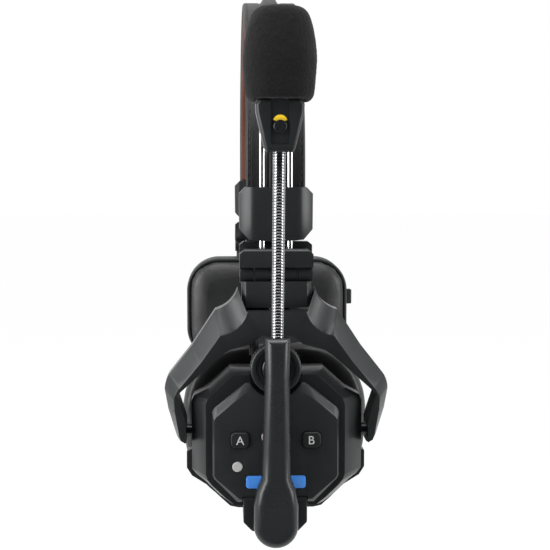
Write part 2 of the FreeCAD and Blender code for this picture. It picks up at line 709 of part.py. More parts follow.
def make_headband_pad():
    body = piece("headband_pad")
    spine = arch_spine(body, "dims.pad_foot_z")
    section = arch_section(body, "cushion_section", "dims.pad_foot_z")
    back = "dims.strip_thick / 2 + 0.05"
    half = [
        ("dims.cushion_half_width - 0.6", band_level(minus(back)), None),
        ("dims.cushion_half_width", band_level(f"-({back}) - 1.2"), "-(2.2)"),
        ("dims.cushion_half_width - 0.9", band_level(f"-({back}) - dims.cushion_side - 0.8"),
         "-(24)"),
        ("0", band_level(f"-({back}) - dims.cushion_depth + 0.05"), "-(24)"),
    ]
    turned = [(x, z, None if r is None else minus(r)) for x, z, r in mirrored(half)]
    outline(section, turned)
    sweep(body, section, spine)


# Clamps at the feet of the headband, with the rods' tunnels and the cover's socket
def make_slider_clamp(side):
    body = piece(f"slider_clamp_{side}")
    face = sketch_on(body, f"clamp_face_{side}", "XZ_Plane", "dims.clamp_back_y")
    half = corners("clamp_top", "clamp_shoulder", "clamp_hip")
    half.append(corner("clamp_foot", "-(dims.clamp_foot_radius)"))
    outline(face, mirrored(half))
    block = pad(body, face, "dims.clamp_depth")
    doc.recompute()
    plan = sketch_on(body, f"clamp_plan_{side}", "XY_Plane")
    front = "-(dims.clamp_back_y) - dims.clamp_depth"
    wide = "dims.clamp_shoulder_x"
    for flip in (lambda text: text, minus):
        outline(plan, [
            (flip(f"{wide} - 5.2"), front, None),
            (flip(f"{wide} - 3.6"), f"{front} + 0.6", None),
            (flip(f"{wide} + 0.2"), f"{front} + 3.4", None),
            (flip(f"{wide} + 0.2"), f"{front} - 0.2", None),
            (flip(f"{wide} - 5.2"), f"{front} - 0.2", None),
        ])
        outline(plan, [
            (flip(f"{wide} - 2"), "-(dims.clamp_back_y) + 0.1", None),
            (flip(f"{wide} + 0.2"), "-(dims.clamp_back_y) + 0.1", None),
            (flip(f"{wide} + 0.2"), "-(dims.clamp_back_y) - 2.1", None),
        ])
    pocket(body, plan)
    tunnels = sketch_on(body, f"clamp_tunnels_{side}", "XY_Plane")
    for across in ("dims.rod_half_pitch", "-(dims.rod_half_pitch)"):
        circle(tunnels, across, "-(dims.rod_line_y)", "dims.rod_bore_radius")
    pocket(body, tunnels)
    socket = sketch_on(body, f"clamp_socket_{side}", "XY_Plane", "dims.clamp_top_z")
    outline(socket, mirrored(socket_half_section()))
    pocket(body, socket, "dims.clamp_top_z - dims.cover_foot_z + 0.2")
    holes = sketch_on(body, f"clamp_holes_{side}", "XZ_Plane", "dims.clamp_back_y")
    seats = sketch_on(body, f"clamp_seats_{side}", "XZ_Plane", "dims.clamp_back_y")
    for across in ("dims.clamp_screw_x", "-(dims.clamp_screw_x)"):
        circle(holes, across, "dims.clamp_screw_z", "dims.screw_shank_radius")
        circle(seats, across, "dims.clamp_screw_z", "dims.screw_head_radius + 0.1")
    pocket(body, holes, "dims.screw_length + 0.3", turned=True)
    pocket(body, seats, "dims.screw_head_thick", turned=True)
    if side == "far":
        to_far_side(body)


def socket_half_section():
    wide = "dims.band_half_width + dims.fit_gap"
    duct = "dims.duct_half_width + dims.fit_gap"
    back = band_level("-(dims.strip_thick) / 2 - 0.2")
    return [
        (wide, back, None),
        (wide, band_level(f"{COVER_FACE} + 0.05"), None),
        (duct, band_level(f"{COVER_FACE} + 0.05"), None),
        (f"{duct} - 0.8", band_level(f"{DUCT_TOP} + 0.05"), None),
    ]


def make_screws(label, spots, face_y, side):
    shapes = []
    for index, (across, height) in enumerate(spots):
        head = cylinder(f"{label}_head_{index}", "dims.screw_head_radius",
                        "dims.screw_head_thick", (across, face_y, height), Vector(0, -1, 0))
        shank = cylinder(f"{label}_shank_{index}", "dims.screw_shank_radius",
                         "dims.screw_length", (across, face_y, height), Vector(0, -1, 0))
        shapes += [head, shank]
    made = joined(label, shapes)
    if side == "far":
        to_far_side(made)


def make_clamp_screws(side):
    spots = [("dims.clamp_screw_x", "dims.clamp_screw_z"),
             ("-(dims.clamp_screw_x)", "dims.clamp_screw_z")]
    make_screws(f"clamp_screws_{side}", spots, "-(dims.clamp_back_y)", side)


# Hangers: rods, folding hinge and swivel, the same mouldings on both sides
def make_size_rods(side):
    shapes = []
    for name, across in (("a", "dims.rod_half_pitch"), ("b", "-(dims.rod_half_pitch)")):
        spot = (across, "-(dims.rod_line_y)", "dims.rod_foot_z")
        stop = (across, "-(dims.rod_line_y)", "dims.rod_top_z - dims.rod_stop_length")
        shapes.append(cylinder(f"rod_{name}_{side}", "dims.rod_radius",
                               "dims.rod_top_z - dims.rod_foot_z", spot, Vector(0, 0, 1)))
        shapes.append(cylinder(f"rod_stop_{name}_{side}", "dims.rod_stop_radius",
                               "dims.rod_stop_length", stop, Vector(0, 0, 1)))
    made = joined(f"size_rods_{side}", shapes)
    if side == "far":
        to_far_side(made)


def side_cut(body, name, loops):
    cut = sketch_on(body, name, "YZ_Plane")
    for loop in loops:
        outline(cut, [(y, z, None) for y, z in loop])
    return pocket(body, cut, "60", middle=True)


def barrel_circle(body, name, radius, offset="0"):
    return circle(sketch_on(body, name, "YZ_Plane", offset), "-(dims.hinge_y)", "dims.hinge_z",
                  radius)


def make_hinge_block(side):
    body = piece(f"hinge_block_{side}")
    face = sketch_on(body, f"block_face_{side}", "XZ_Plane", "dims.block_back_y")
    outline(face, mirrored(corners("block_top", "block_shoulder", "block_foot")))
    pad(body, face, "dims.block_depth")
    doc.recompute()
    front = "-(dims.block_back_y) - dims.block_depth"
    back = "-(dims.block_back_y)"
    side_cut(body, f"block_sides_{side}", [
        [(f"{front} - 0.1", "dims.block_ledge_z - 0.8"), (f"{front} + 0.7", "dims.block_ledge_z"),
         ("-(dims.block_step_y)", "dims.block_ledge_z"),
         ("-(dims.block_step_y)", "dims.block_top_z + 0.1"),
         (f"{front} - 0.1", "dims.block_top_z + 0.1")],
        [("-(dims.hinge_y) + 2.1", "dims.block_foot_z - 0.1"),
         (f"{back} + 0.1", f"dims.block_foot_z - 0.1 + dims.hinge_y + 0.1 - dims.block_back_y - 2.1"),
         (f"{back} + 0.1", "dims.block_foot_z - 0.1")],
    ])
    corners_cut = sketch_on(body, f"block_corners_{side}", "XZ_Plane", "dims.block_step_y")
    for sign in ("", "-"):
        outline(corners_cut, [
            (f"{sign}(dims.block_shoulder_x + 0.1)", "dims.block_ledge_z + 0.1", None),
            (f"{sign}(dims.block_shoulder_x + 0.1)", "dims.block_ledge_z - 1.8", None),
            (f"{sign}(dims.block_shoulder_x - 2.1)", "dims.block_ledge_z + 0.1", None),
        ])
    pocket(body, corners_cut, turned=True)
    barrel = barrel_circle(body, f"block_barrel_{side}", "dims.barrel_radius")
    pad(body, barrel, "dims.barrel_half_length * 2", middle=True)
    doc.recompute()
    hollow = barrel_circle(body, f"block_hollow_{side}", "dims.barrel_gap_radius")
    pocket(body, hollow, "dims.barrel_split_half * 2", middle=True)
    bore = barrel_circle(body, f"block_bore_{side}", "dims.pin_radius")
    pocket(body, bore, "60", middle=True)
    sockets = sketch_on(body, f"block_sockets_{side}", "XY_Plane")
    for across in ("dims.rod_half_pitch", "-(dims.rod_half_pitch)"):
        circle(sockets, across, "-(dims.rod_line_y)", "dims.rod_radius")
    pocket(body, sockets, minus("dims.rod_foot_z"))
    if side == "far":
        to_far_side(body)


def make_hinge_pin(side):
    half = "-(dims.barrel_half_length)"
    pin = cylinder(f"hinge_pin_{side}", "dims.pin_radius", "dims.barrel_half_length * 2",
                   (half, "-(dims.hinge_y)", "dims.hinge_z"), Vector(1, 0, 0))
    pin.Label = f"hinge_pin_{side}"
    pieces.append(pin)
    if side == "far":
        pin.setExpression("Placement.Base.y", "dims.hinge_y")


def make_hinge_knuckle(side):
    body = piece(f"hinge_knuckle_{side}")
    back = "dims.block_back_y + 1"
    face = sketch_on(body, f"knuckle_face_{side}", "XZ_Plane", back)
    outline(face, mirrored([corner("knuckle_top"), corner("knuckle_side", "-(dims.knuckle_corner)"),
                            corner("knuckle_foot")]))
    pad(body, face, "dims.block_depth - 1")
    doc.recompute()
    plan = sketch_on(body, f"knuckle_plan_{side}", "XY_Plane", "dims.knuckle_top_z + 0.1")
    level = "-(dims.block_back_y) - dims.block_depth"
    for sign in ("", "-"):
        outline(plan, [
            (f"{sign}(dims.knuckle_top_x + 0.1)", f"{level} - 0.1", None),
            (f"{sign}(dims.knuckle_top_x + 0.1)", f"{level} + dims.knuckle_corner", None),
            (f"{sign}(dims.knuckle_top_x - dims.knuckle_corner)", f"{level} - 0.1", None),
        ])
    pocket(body, plan)
    doc.recompute()
    side_cut(body, f"knuckle_sides_{side}", [
        [("-(dims.hinge_y) + 2.1", "dims.knuckle_top_z + 0.1"),
         ("-(dims.block_back_y) - 0.9",
          "dims.knuckle_top_z + 0.1 - (dims.hinge_y - dims.block_back_y - 3)"),
         ("-(dims.block_back_y) - 0.9", "dims.knuckle_top_z + 0.1")],
    ])
    ends = [("right", "dims.barrel_half_length + 0.4"), ("left", "-(dims.barrel_inner_half)")]
    for name, offset in ends:
        hollow = barrel_circle(body, f"knuckle_hollow_{name}_{side}", "dims.barrel_gap_radius",
                               offset)
        pocket(body, hollow, "dims.barrel_half_length + 0.4 - dims.barrel_inner_half")
    barrel = barrel_circle(body, f"knuckle_barrel_{side}", "dims.barrel_radius")
    pad(body, barrel, "dims.barrel_inner_half * 2", middle=True)
    doc.recompute()
    bore = barrel_circle(body, f"knuckle_bore_{side}", "dims.pin_bore_radius")
    pocket(body, bore, "60", middle=True)
    socket = sketch_on(body, f"knuckle_socket_{side}", "XY_Plane", "dims.swivel_top_z")
    circle(socket, "0", "-(dims.swivel_y)", "dims.swivel_radius")
    pocket(body, socket)
    if side == "far":
        to_far_side(body)


def make_turned(label, role, offset, points, axis, up="0"):
    body = piece(label)
    section = sketch_on(body, label + "_section", role, offset, up=up)
    outline(section, [(a, b, None) for a, b in points])
    revolve(body, section, axis)
    return body


def make_swivel_bolt(side):
    body = make_turned(f"swivel_bolt_{side}", "XZ_Plane", "dims.swivel_y", [
        ("0", "dims.swivel_top_z"),
        ("dims.swivel_radius", "dims.swivel_top_z"),
        ("dims.swivel_radius", "dims.swivel_head_z"),
        ("dims.swivel_head_radius", "dims.swivel_head_z"),
        ("dims.swivel_head_radius", "dims.swivel_foot_z + 0.5"),
        ("dims.swivel_head_radius - 0.5", "dims.swivel_foot_z"),
        ("1.5", "dims.swivel_foot_z"),
        ("1.5", "dims.swivel_foot_z + 1.2"),
        ("0", "dims.swivel_foot_z + 1.2"),
    ], "V_Axis")
    if side == "far":
        to_far_side(body)


def make_swivel_washer(side):
    body = make_turned(f"swivel_washer_{side}", "XZ_Plane", "dims.swivel_y", [
        ("dims.swivel_bore_radius", "dims.washer_top_z"),
        ("dims.washer_radius", "dims.washer_top_z"),
        ("dims.washer_radius", "dims.washer_foot_z"),
        ("dims.swivel_bore_radius", "dims.washer_foot_z"),
    ], "V_Axis")
    if side == "far":
        to_far_side(body)


def bent(family, names, bends):
    # corners of a family of points, of which some start an arc
    return [corner(f"{family}_{name}", bends.get(name)) for name in names]


# Yoke: a deep fork with scooped shoulders, whose bevel runs out from a narrow face
def make_yoke():
    body = piece("yoke")
    inner = ["yoke_palm", "yoke_cuff", "yoke_pit", "yoke_arch", "yoke_vault", "yoke_spring",
             "yoke_key"]
    deep = ["seat", "throat", "ear", "scoop", "arm", "elbow", "corner", "forearm", "wrist",
            "tip", "nail"]
    bends = {"ear": "dims.yoke_scoop_radius", "elbow": "-(dims.yoke_elbow_radius)"}
    edge = sketch_on(body, "yoke_edge", "XZ_Plane", "dims.yoke_edge_y")
    outline(edge, mirrored(bent("yoke", deep, bends) + corners(*inner)))
    face = sketch_on(body, "yoke_face", "XZ_Plane", "dims.yoke_front_y")
    outline(face, mirrored(bent("face", deep, bends) + corners(*inner)))
    back = sketch_on(body, "yoke_back", "XZ_Plane", "dims.yoke_back_y")
    outline(back, mirrored(bent("yoke", deep, bends) + corners(*inner)))
    pad(body, back, "dims.yoke_edge_y - dims.yoke_back_y")
    loft(body, [edge, face])
    doc.recompute()
    bore = sketch_on(body, "yoke_bore", "XY_Plane")
    circle(bore, "0", "-(dims.swivel_y)", "dims.swivel_bore_radius")
    pocket(body, bore)
    seat = sketch_on(body, "yoke_bolt_seat", "XY_Plane", "dims.swivel_head_z + 0.15")
    circle(seat, "0", "-(dims.swivel_y)", "dims.swivel_seat_radius")
    pocket(body, seat)
    depth = "dims.tilt_pin_outer_x - dims.yoke_palm_x + 0.3"
    for name, offset in (("right", "dims.tilt_pin_outer_x + 0.1"),
                         ("left", "-(dims.yoke_palm_x) + 0.2")):
        hole = sketch_on(body, f"yoke_pin_{name}", "YZ_Plane", offset)
        circle(hole, "-(dims.tilt_y)", "dims.tilt_z", "dims.tilt_pin_radius + 0.03")
        pocket(body, hole, depth)
    lead = sketch_on(body, "yoke_lead_hole", "XY_Plane", "dims.yoke_key_z + 2")
    circle(lead, "dims.boot_x", "-(dims.boot_y)", "dims.boot_top_radius + 0.05")
    pocket(body, lead)


def make_tilt_pins():
    shapes = []
    for name, sign in (("right", 1), ("left", -1)):
        side = Vector(sign, 0, 0)
        start = "dims.tilt_pin_inner_x" if sign > 0 else "-(dims.tilt_pin_inner_x)"
        shapes.append(cylinder(f"tilt_pin_{name}", "dims.tilt_pin_radius",
                               "dims.tilt_pin_outer_x - dims.tilt_pin_inner_x",
                               (start, "-(dims.tilt_y)", "dims.tilt_z"), side))
        for index in range(3):
            place = f"dims.tilt_ring_first_x + {index} * dims.tilt_ring_pitch"
            place = place if sign > 0 else minus(place)
            shapes.append(cylinder(f"tilt_ring_{name}_{index}", "dims.tilt_ring_radius",
                                   "dims.tilt_ring_width",
                                   (place, "-(dims.tilt_y)", "dims.tilt_z"), side))
    joined("tilt_pins", shapes)


def make_lead_boot():
    boot = doc.addObject("Part::Cone", "lead_boot")
    boot.setExpression("Radius1", "dims.boot_foot_radius")
    boot.setExpression("Radius2", "dims.boot_top_radius")
    boot.setExpression("Height", "dims.boot_top_z - dims.boot_foot_z")
    boot.setExpression("Placement.Base.x", "dims.boot_x")
    boot.setExpression("Placement.Base.y", "-(dims.boot_y)")
    boot.setExpression("Placement.Base.z", "dims.boot_foot_z")
    boot.Label = "lead_boot"
    pieces.append(boot)


def make_signal_lead():
    lead = cylinder("signal_lead", "dims.lead_radius", "dims.lead_top_z - dims.lead_foot_z",
                    ("dims.boot_x", "-(dims.boot_y)", "dims.lead_foot_z"), Vector(0, 0, 1))
    lead.Label = "signal_lead"
    pieces.append(lead)


# Ear cup: front shell, rear moulding, control plate, speaker and cushion
def button_box(grow="0", across="dims.button_x"):
    half = f"(dims.button_half_width + {grow})"
    tall = f"(dims.button_half_height + {grow})"
    return rounded_box(across, "dims.button_z", half, tall, f"(dims.button_corner + {grow})")


def bar_box(grow="0"):
    return rounded_box("0", "dims.bar_z", f"(dims.bar_half_width + {grow})",
                       f"(dims.bar_half_height + {grow})", f"(dims.bar_corner + {grow})")


def badge_box(grow="0"):
    return rounded_box("0", "dims.badge_z", f"(dims.badge_half_width + {grow})",
                       f"(dims.badge_half_height + {grow})", f"(dims.badge_corner + {grow})")


def face_sketch(body, name, offset):
    return sketch_on(body, name, "XZ_Plane", offset, across="dims.face_x")


def make_cup_shell():
    body = piece("cup_shell")
    names = ["top", "shoulder", "waist", "turn", "side", "hip", "heel", "ramp", "toe", "foot"]
    back = sketch_on(body, "shell_back", "XZ_Plane", "dims.cup_back_y")
    outline(back, mirrored(corners(*[f"shell_{name}" for name in names])))
    pad(body, back, "dims.cup_edge_y - dims.cup_back_y")
    edge = sketch_on(body, "shell_edge", "XZ_Plane", "dims.cup_edge_y")
    outline(edge, mirrored(corners(*[f"shell_{name}" for name in names])))
    front = face_sketch(body, "shell_front", "dims.cup_front_y")
    outline(front, mirrored(corners(*[f"front_{name}" for name in names])))
    loft(body, [edge, front])
    boss = face_sketch(body, "knob_boss", "dims.boss_back_y")
    circle(boss, "0", "dims.knob_z", "dims.boss_radius")
    pad(body, boss, "dims.boss_front_y - dims.boss_back_y")
    doc.recompute()
    hollow = sketch_on(body, "shell_hollow", "XZ_Plane", "dims.cup_back_y")
    ring = ["top", "shoulder", "turn", "side", "hip", "ramp", "foot"]
    outline(hollow, mirrored(corners(*[f"hollow_{name}" for name in ring])))
    pocket(body, hollow, "dims.cup_inner_y - dims.cup_back_y", turned=True)
    deep = face_sketch(body, "shell_board_hollow", "dims.cup_inner_y - 0.1")
    outline(deep, rounded_box("0", "dims.board_z", "(dims.board_half_width + 1.2)",
                              "(dims.board_half_height + 0.6)", "2"))
    pocket(body, deep, "dims.cup_board_y - dims.cup_inner_y + 0.1", turned=True)
    window = face_sketch(body, "shell_window", "dims.cup_board_y - 0.1")
    outline(window, rounded_box("0", "dims.button_z", "17.2", "4.6", "1.5"))
    pocket(body, window, "dims.cup_front_y - dims.cup_board_y + 0.2", turned=True)
    seat = face_sketch(body, "knob_seat", "dims.boss_front_y")
    circle(seat, "0", "dims.knob_z", "dims.knob_seat_radius")
    pocket(body, seat, "4", turned=True)
    lead = sketch_on(body, "shell_lead_hole", "XY_Plane", "dims.shell_top_z + 0.5")
    circle(lead, "dims.boot_x", "-(dims.boot_y)", "dims.lead_radius")
    pocket(body, lead, "4")
    nest = face_sketch(body, "encoder_nest", "dims.boss_back_y - 0.5")
    circle(nest, "0", "dims.knob_z", "dims.encoder_radius + 0.1")
    pocket(body, nest, "dims.encoder_front_y - dims.boss_back_y + 0.5", turned=True)
    shaft = face_sketch(body, "encoder_hole", "dims.encoder_front_y - 0.1")
    circle(shaft, "0", "dims.knob_z", "dims.shaft_radius + 0.2")
    pocket(body, shaft, "4", turned=True)
    pins = sketch_on(body, "shell_pin_bores", "YZ_Plane")
    circle(pins, "-(dims.tilt_y)", "dims.tilt_z", "dims.tilt_bore_radius")
    pocket(body, pins, "80", middle=True)


def make_control_plate():
    body = piece("control_plate")
    names = ["top", "turn", "side", "hip", "ramp", "foot"]
    back = face_sketch(body, "plate_back", "dims.cup_front_y")
    outline(back, mirrored(corners(*[f"plate_{name}" for name in names])))
    pad(body, back, "dims.plate_edge_y - dims.cup_front_y")
    edge = face_sketch(body, "plate_edge", "dims.plate_edge_y")
    outline(edge, mirrored(corners(*[f"plate_{name}" for name in names])))
    flat = face_sketch(body, "plate_flat", "dims.plate_front_y")
    outline(flat, mirrored(corners(*[f"flat_{name}" for name in names])))
    loft(body, [edge, flat])
    doc.recompute()
    through = face_sketch(body, "plate_openings", "dims.cup_front_y - 0.5")
    circle(through, "0", "dims.knob_z", "dims.knob_notch_radius")
    for across in ("dims.button_x", "-(dims.button_x)"):
        outline(through, button_box("dims.fit_gap", across))
    outline(through, bar_box("0"))
    circle(through, "dims.light_x", "dims.light_z", "dims.light_radius")
    outline(through, box_corners("dims.mount_x - dims.face_x - dims.mount_half_width - 0.2",
                                 "dims.mount_x - dims.face_x + dims.mount_half_width + 0.2",
                                 "dims.plate_foot_z - 1", "-162.8"))
    pocket(body, through, turned=True)
    under = face_sketch(body, "plate_flange_room", "dims.cup_front_y")
    for across in ("dims.button_x", "-(dims.button_x)"):
        outline(under, button_box("dims.flange_lip + 0.2", across))
    pocket(body, under, "dims.flange_front_y - dims.cup_front_y + 0.1", turned=True)
    recess = face_sketch(body, "plate_badge_recess", "dims.badge_back_y")
    outline(recess, badge_box("0.05"))
    pocket(body, recess, turned=True)


def make_button(name, across):
    body = piece(f"button_{name}")
    flange = face_sketch(body, f"button_{name}_flange", "dims.flange_back_y")
    outline(flange, button_box("dims.flange_lip", across))
    pad(body, flange, "dims.flange_front_y - dims.flange_back_y")
    cap = face_sketch(body, f"button_{name}_cap", "dims.flange_front_y - 0.1")
    outline(cap, button_box("0", across))
    top = pad(body, cap, "dims.button_front_y - dims.flange_front_y + 0.1")
    front = -size("button_front_y")
    round_edges(body, top, lambda edge: lies_at_y(edge, front), "0.5")
    stem = face_sketch(body, f"button_{name}_stem", "dims.stem_back_y")
    circle(stem, across, "dims.button_z", "dims.stem_radius")
    pad(body, stem, "dims.flange_back_y - dims.stem_back_y + 0.1")


def make_plates_and_lights():
    lens = piece("light_lens")
    ring = face_sketch(lens, "lens_circle", "dims.cup_front_y")
    circle(ring, "dims.light_x", "dims.light_z", "dims.light_radius")
    made = pad(lens, ring, "dims.plate_front_y - dims.cup_front_y + 0.2")
    level = -size("plate_front_y") - 0.2
    round_edges(lens, made, lambda edge: lies_at_y(edge, level), "0.3")
    bar = piece("light_bar")
    strip = face_sketch(bar, "bar_outline", "dims.cup_front_y + 0.1")
    outline(strip, bar_box("0"))
    pad(bar, strip, "dims.plate_front_y - dims.cup_front_y + 0.1")
    badge = piece("badge_plate")
    face = face_sketch(badge, "badge_outline", "dims.badge_back_y")
    outline(face, badge_box("0"))
    pad(badge, face, "dims.badge_front_y - dims.badge_back_y")


def make_main_board():
    body = piece("main_board")
    board = face_sketch(body, "board_outline", "dims.board_back_y")
    outline(board, rounded_box("0", "dims.board_z", "dims.board_half_width",
                               "dims.board_half_height", "1.5"))
    pad(body, board, "dims.board_front_y - dims.board_back_y")
    for name, across in (("b", "dims.button_x"), ("a", "-(dims.button_x)")):
        switch = face_sketch(body, f"board_switch_{name}", "dims.board_front_y - 0.1")
        outline(switch, box_corners(f"{across} - dims.switch_half", f"{across} + dims.switch_half",
                                    "dims.button_z - dims.switch_half",
                                    "dims.button_z + dims.switch_half"))
        pad(body, switch, "dims.switch_front_y - dims.board_front_y + 0.1")


def make_cup_back():
    body = piece("cup_back")
    outer = sketch_on(body, "rear_outline", "XZ_Plane", "dims.rear_front_y")
    names = ["top", "turn", "side", "waist", "wing", "hip", "heel", "ramp", "toe", "low", "foot"]
    outline(outer, mirrored(corners(*[f"rear_{name}" for name in names])))
    made = pad(body, outer, "dims.cup_back_y - dims.rear_front_y")
    level = -size("rear_front_y")
    round_edges(body, made, lambda edge: lies_at_y(edge, level), "1")
    doc.recompute()
    seat = sketch_on(body, "baffle_seat", "XZ_Plane", "dims.rear_front_y")
    circle(seat, "0", "dims.rear_z", "dims.baffle_radius + 0.1")
    pocket(body, seat, "dims.baffle_seat_y - dims.rear_front_y", turned=True)
    bore = sketch_on(body, "driver_bore", "XZ_Plane", "dims.rear_front_y")
    circle(bore, "0", "dims.rear_z", "dims.driver_bore_radius")
    pocket(body, bore, turned=True)


def make_speaker():
    baffle = piece("speaker_baffle")
    disc = sketch_on(baffle, "baffle_disc", "XZ_Plane", "dims.baffle_face_y", up="dims.rear_z")
    circle(disc, "0", "0", "dims.baffle_radius")
    pad(baffle, disc, "dims.baffle_seat_y - dims.baffle_face_y")
    doc.recompute()
    centre = sketch_on(baffle, "baffle_centre", "XZ_Plane", "dims.baffle_face_y",
                       up="dims.rear_z")
    circle(centre, "0", "0", "dims.baffle_hole_radius * 1.6")
    pocket(baffle, centre, turned=True)
    hole = sketch_on(baffle, "baffle_hole", "XZ_Plane", "dims.baffle_face_y", up="dims.rear_z")
    circle(hole, "dims.baffle_hole_ring", "0", "dims.baffle_hole_radius")
    first = pocket(baffle, hole, turned=True)
    ring = baffle.newObject("PartDesign::PolarPattern", "baffle_ring")
    ring.Originals = [first]
    ring.Axis = (hole, ["N_Axis"])
    ring.Angle = 360
    ring.Occurrences = 8
    baffle.Tip = ring
    cloth = piece("speaker_mesh")
    face = sketch_on(cloth, "cloth_disc", "XZ_Plane", "dims.mesh_face_y")
    circle(face, "0", "dims.rear_z", "dims.baffle_radius - 0.1")
    pad(cloth, face, "dims.baffle_face_y - dims.mesh_face_y")
    make_turned("speaker_driver", "YZ_Plane", "0", [
        ("-(dims.baffle_seat_y) - 0.1", "0"),
        ("-(dims.baffle_seat_y) - 0.1", "dims.driver_flange_radius"),
        ("-(dims.driver_flange_y)", "dims.driver_flange_radius"),
        ("-(dims.driver_flange_y)", "dims.driver_body_radius"),
        ("-(dims.driver_body_y)", "dims.driver_magnet_radius + 1.5"),
        ("-(dims.driver_body_y)", "dims.driver_magnet_radius"),
        ("-(dims.driver_magnet_y)", "dims.driver_magnet_radius"),
        ("-(dims.driver_magnet_y)", "0"),
    ], "H_Axis", up="dims.rear_z")


# Ear cushion: a ring whose section has a crowned face and sides drawn in at the seam
def make_ear_cushion():
    body = piece("ear_cushion")
    spine = sketch_on(body, "cushion_spine", "XZ_Plane", "dims.rear_front_y")
    reach = "dims.ear_pad_width / 2"
    outline(spine, rounded_box("0", "dims.ear_pad_z", f"(dims.ear_pad_half_width - {reach})",
                               f"(dims.ear_pad_half_height - {reach})",
                               f"(dims.ear_pad_corner - {reach})"))
    section = sketch_on(body, "cushion_ring_section", "YZ_Plane",
                        "dims.ear_pad_corner - dims.ear_pad_half_width")
    middle = f"(dims.ear_pad_z + dims.ear_pad_half_height - {reach})"
    back = "-(dims.rear_front_y)"
    outline(section, [
        (back, f"{middle} + {reach} - dims.ear_pad_draw", "-(9)"),
        (f"{back} + dims.ear_pad_side", f"{middle} + {reach} - 1.3", "-(6.5)"),
        (f"{back} + dims.ear_pad_depth", f"{middle} + {reach} - 6.6", "-(40)"),
        (f"{back} + dims.ear_pad_depth - 0.4", f"{middle} - {reach} + 5", "-(6.5)"),
        (f"{back} + dims.ear_pad_side - 1", f"{middle} - {reach} + 1.3", "-(9)"),
        (back, f"{middle} - {reach} + dims.ear_pad_draw", None),
    ])
    sweep(body, section, spine)


# Volume knob on the top of the cup
def make_volume_knob():
    make_turned("volume_knob", "YZ_Plane", "dims.face_x", [
        ("-(dims.shaft_front_y) - 0.2", "0"),
        ("-(dims.knob_front_y) + 1", "0"),
        ("-(dims.knob_front_y) + 1", "4.6"),
        ("-(dims.knob_front_y) + 0.6", "5"),
        ("-(dims.knob_front_y) + 0.6", "6"),
        ("-(dims.knob_front_y)", "6.6"),
        ("-(dims.knob_front_y)", "dims.knob_radius - 0.6"),
        ("-(dims.knob_front_y) + 0.6", "dims.knob_radius"),
        ("-(dims.knob_back_y) - 0.5", "dims.knob_radius"),
        ("-(dims.knob_back_y)", "dims.knob_radius - 0.5"),
        ("-(dims.knob_back_y)", "dims.shaft_bore_radius"),
        ("-(dims.shaft_front_y) - 0.2", "dims.shaft_bore_radius"),
    ], "H_Axis", up="dims.knob_z")
    make_turned("knob_cap", "YZ_Plane", "dims.face_x", [
        ("-(dims.knob_front_y) + 1", "0"),
        ("-(dims.knob_front_y) + 1", "4.5"),
        ("-(dims.knob_front_y) + 0.4", "4.5"),
        ("-(dims.knob_front_y)", "4"),
        ("-(dims.knob_front_y)", "3.2"),
        ("-(dims.knob_front_y) + 0.4", "2.6"),
        ("-(dims.knob_front_y) + 0.4", "0"),
    ], "H_Axis", up="dims.knob_z")
    make_turned("knob_encoder", "YZ_Plane", "dims.face_x", [
        ("-(dims.encoder_back_y)", "0"),
        ("-(dims.encoder_back_y)", "dims.encoder_radius"),
        ("-(dims.encoder_front_y) + 0.1", "dims.encoder_radius"),
        ("-(dims.encoder_front_y) + 0.1", "dims.shaft_radius"),
        ("-(dims.shaft_front_y)", "dims.shaft_radius"),
        ("-(dims.shaft_front_y)", "0"),
    ], "H_Axis", up="dims.knob_z")


# Boom mount and pivot at the foot of the cup
def make_boom_mount():
    body = piece("boom_mount")
    profile = sketch_on(body, "mount_profile", "YZ_Plane", "dims.mount_x")
    front = "-(dims.mount_front_y)"
    ledge = "-(dims.cup_front_y) - 0.05"
    outline(profile, [
        (front, "-163", None),
        (ledge, "-163", None),
        (ledge, "dims.shell_foot_z - 0.1", None),
        ("-80.5", "dims.shell_foot_z - 0.1", None),
        ("-80.5", "dims.pivot_z", None),
        ("-84.5", "-174.3", None),
        (front, "-174.3", None),
    ])
    pad(body, profile, "dims.mount_half_width * 2", middle=True)
    doc.recompute()
    trims = sketch_on(body, "mount_trims", "XZ_Plane")
    for flip in ("+", "-"):
        wide = f"dims.mount_x {flip} dims.mount_half_width"
        outline(trims, [
            (f"{wide} {flip} 0.1", "dims.pivot_z - 0.4", None),
            (f"{wide} {flip} 0.1", "-174.4", None),
            (f"dims.mount_x {flip} (dims.mount_half_width - 3)", "-174.4", None),
        ])
    pocket_all_y(body, trims)
    bore = sketch_on(body, "mount_bore", "XZ_Plane", "dims.pivot_back_y")
    circle(bore, "dims.mount_x", "dims.pivot_z", "dims.pivot_radius")
    pocket(body, bore, turned=True)


def pocket_all_y(body, sketch):
    return pocket(body, sketch, "400", middle=True)


def make_boom_pivot():
    spot = ("dims.mount_x", "-(dims.pivot_back_y)", "dims.pivot_z")
    post = cylinder("boom_pivot", "dims.pivot_radius", "dims.pivot_front_y - dims.pivot_back_y",
                    spot, Vector(0, -1, 0))
    post.Label = "boom_pivot"
    pieces.append(post)
    washer = piece("boom_washer")
    ring = sketch_on(washer, "friction_ring", "XZ_Plane", "dims.mount_front_y + 0.05")
    circle(ring, "dims.mount_x", "dims.pivot_z", "dims.friction_radius")
    circle(ring, "dims.mount_x", "dims.pivot_z", "dims.pivot_bore_radius")
    pad(washer, ring, "dims.arm_back_y - dims.mount_front_y - 0.1")


# Boom: built upright about its pivot, then leaned by a fraction of a degree
def lean(made):
    pivot = Vector(size("mount_x"), 0, size("pivot_z"))
    turn = Rotation(Vector(0, 1, 0), size("boom_lean"))
    made.Placement = Placement(Vector(0, 0, 0), turn, pivot)


def boom_sketch(body, name, role, offset="0"):
    return sketch_on(body, name, role, offset, across="dims.mount_x")


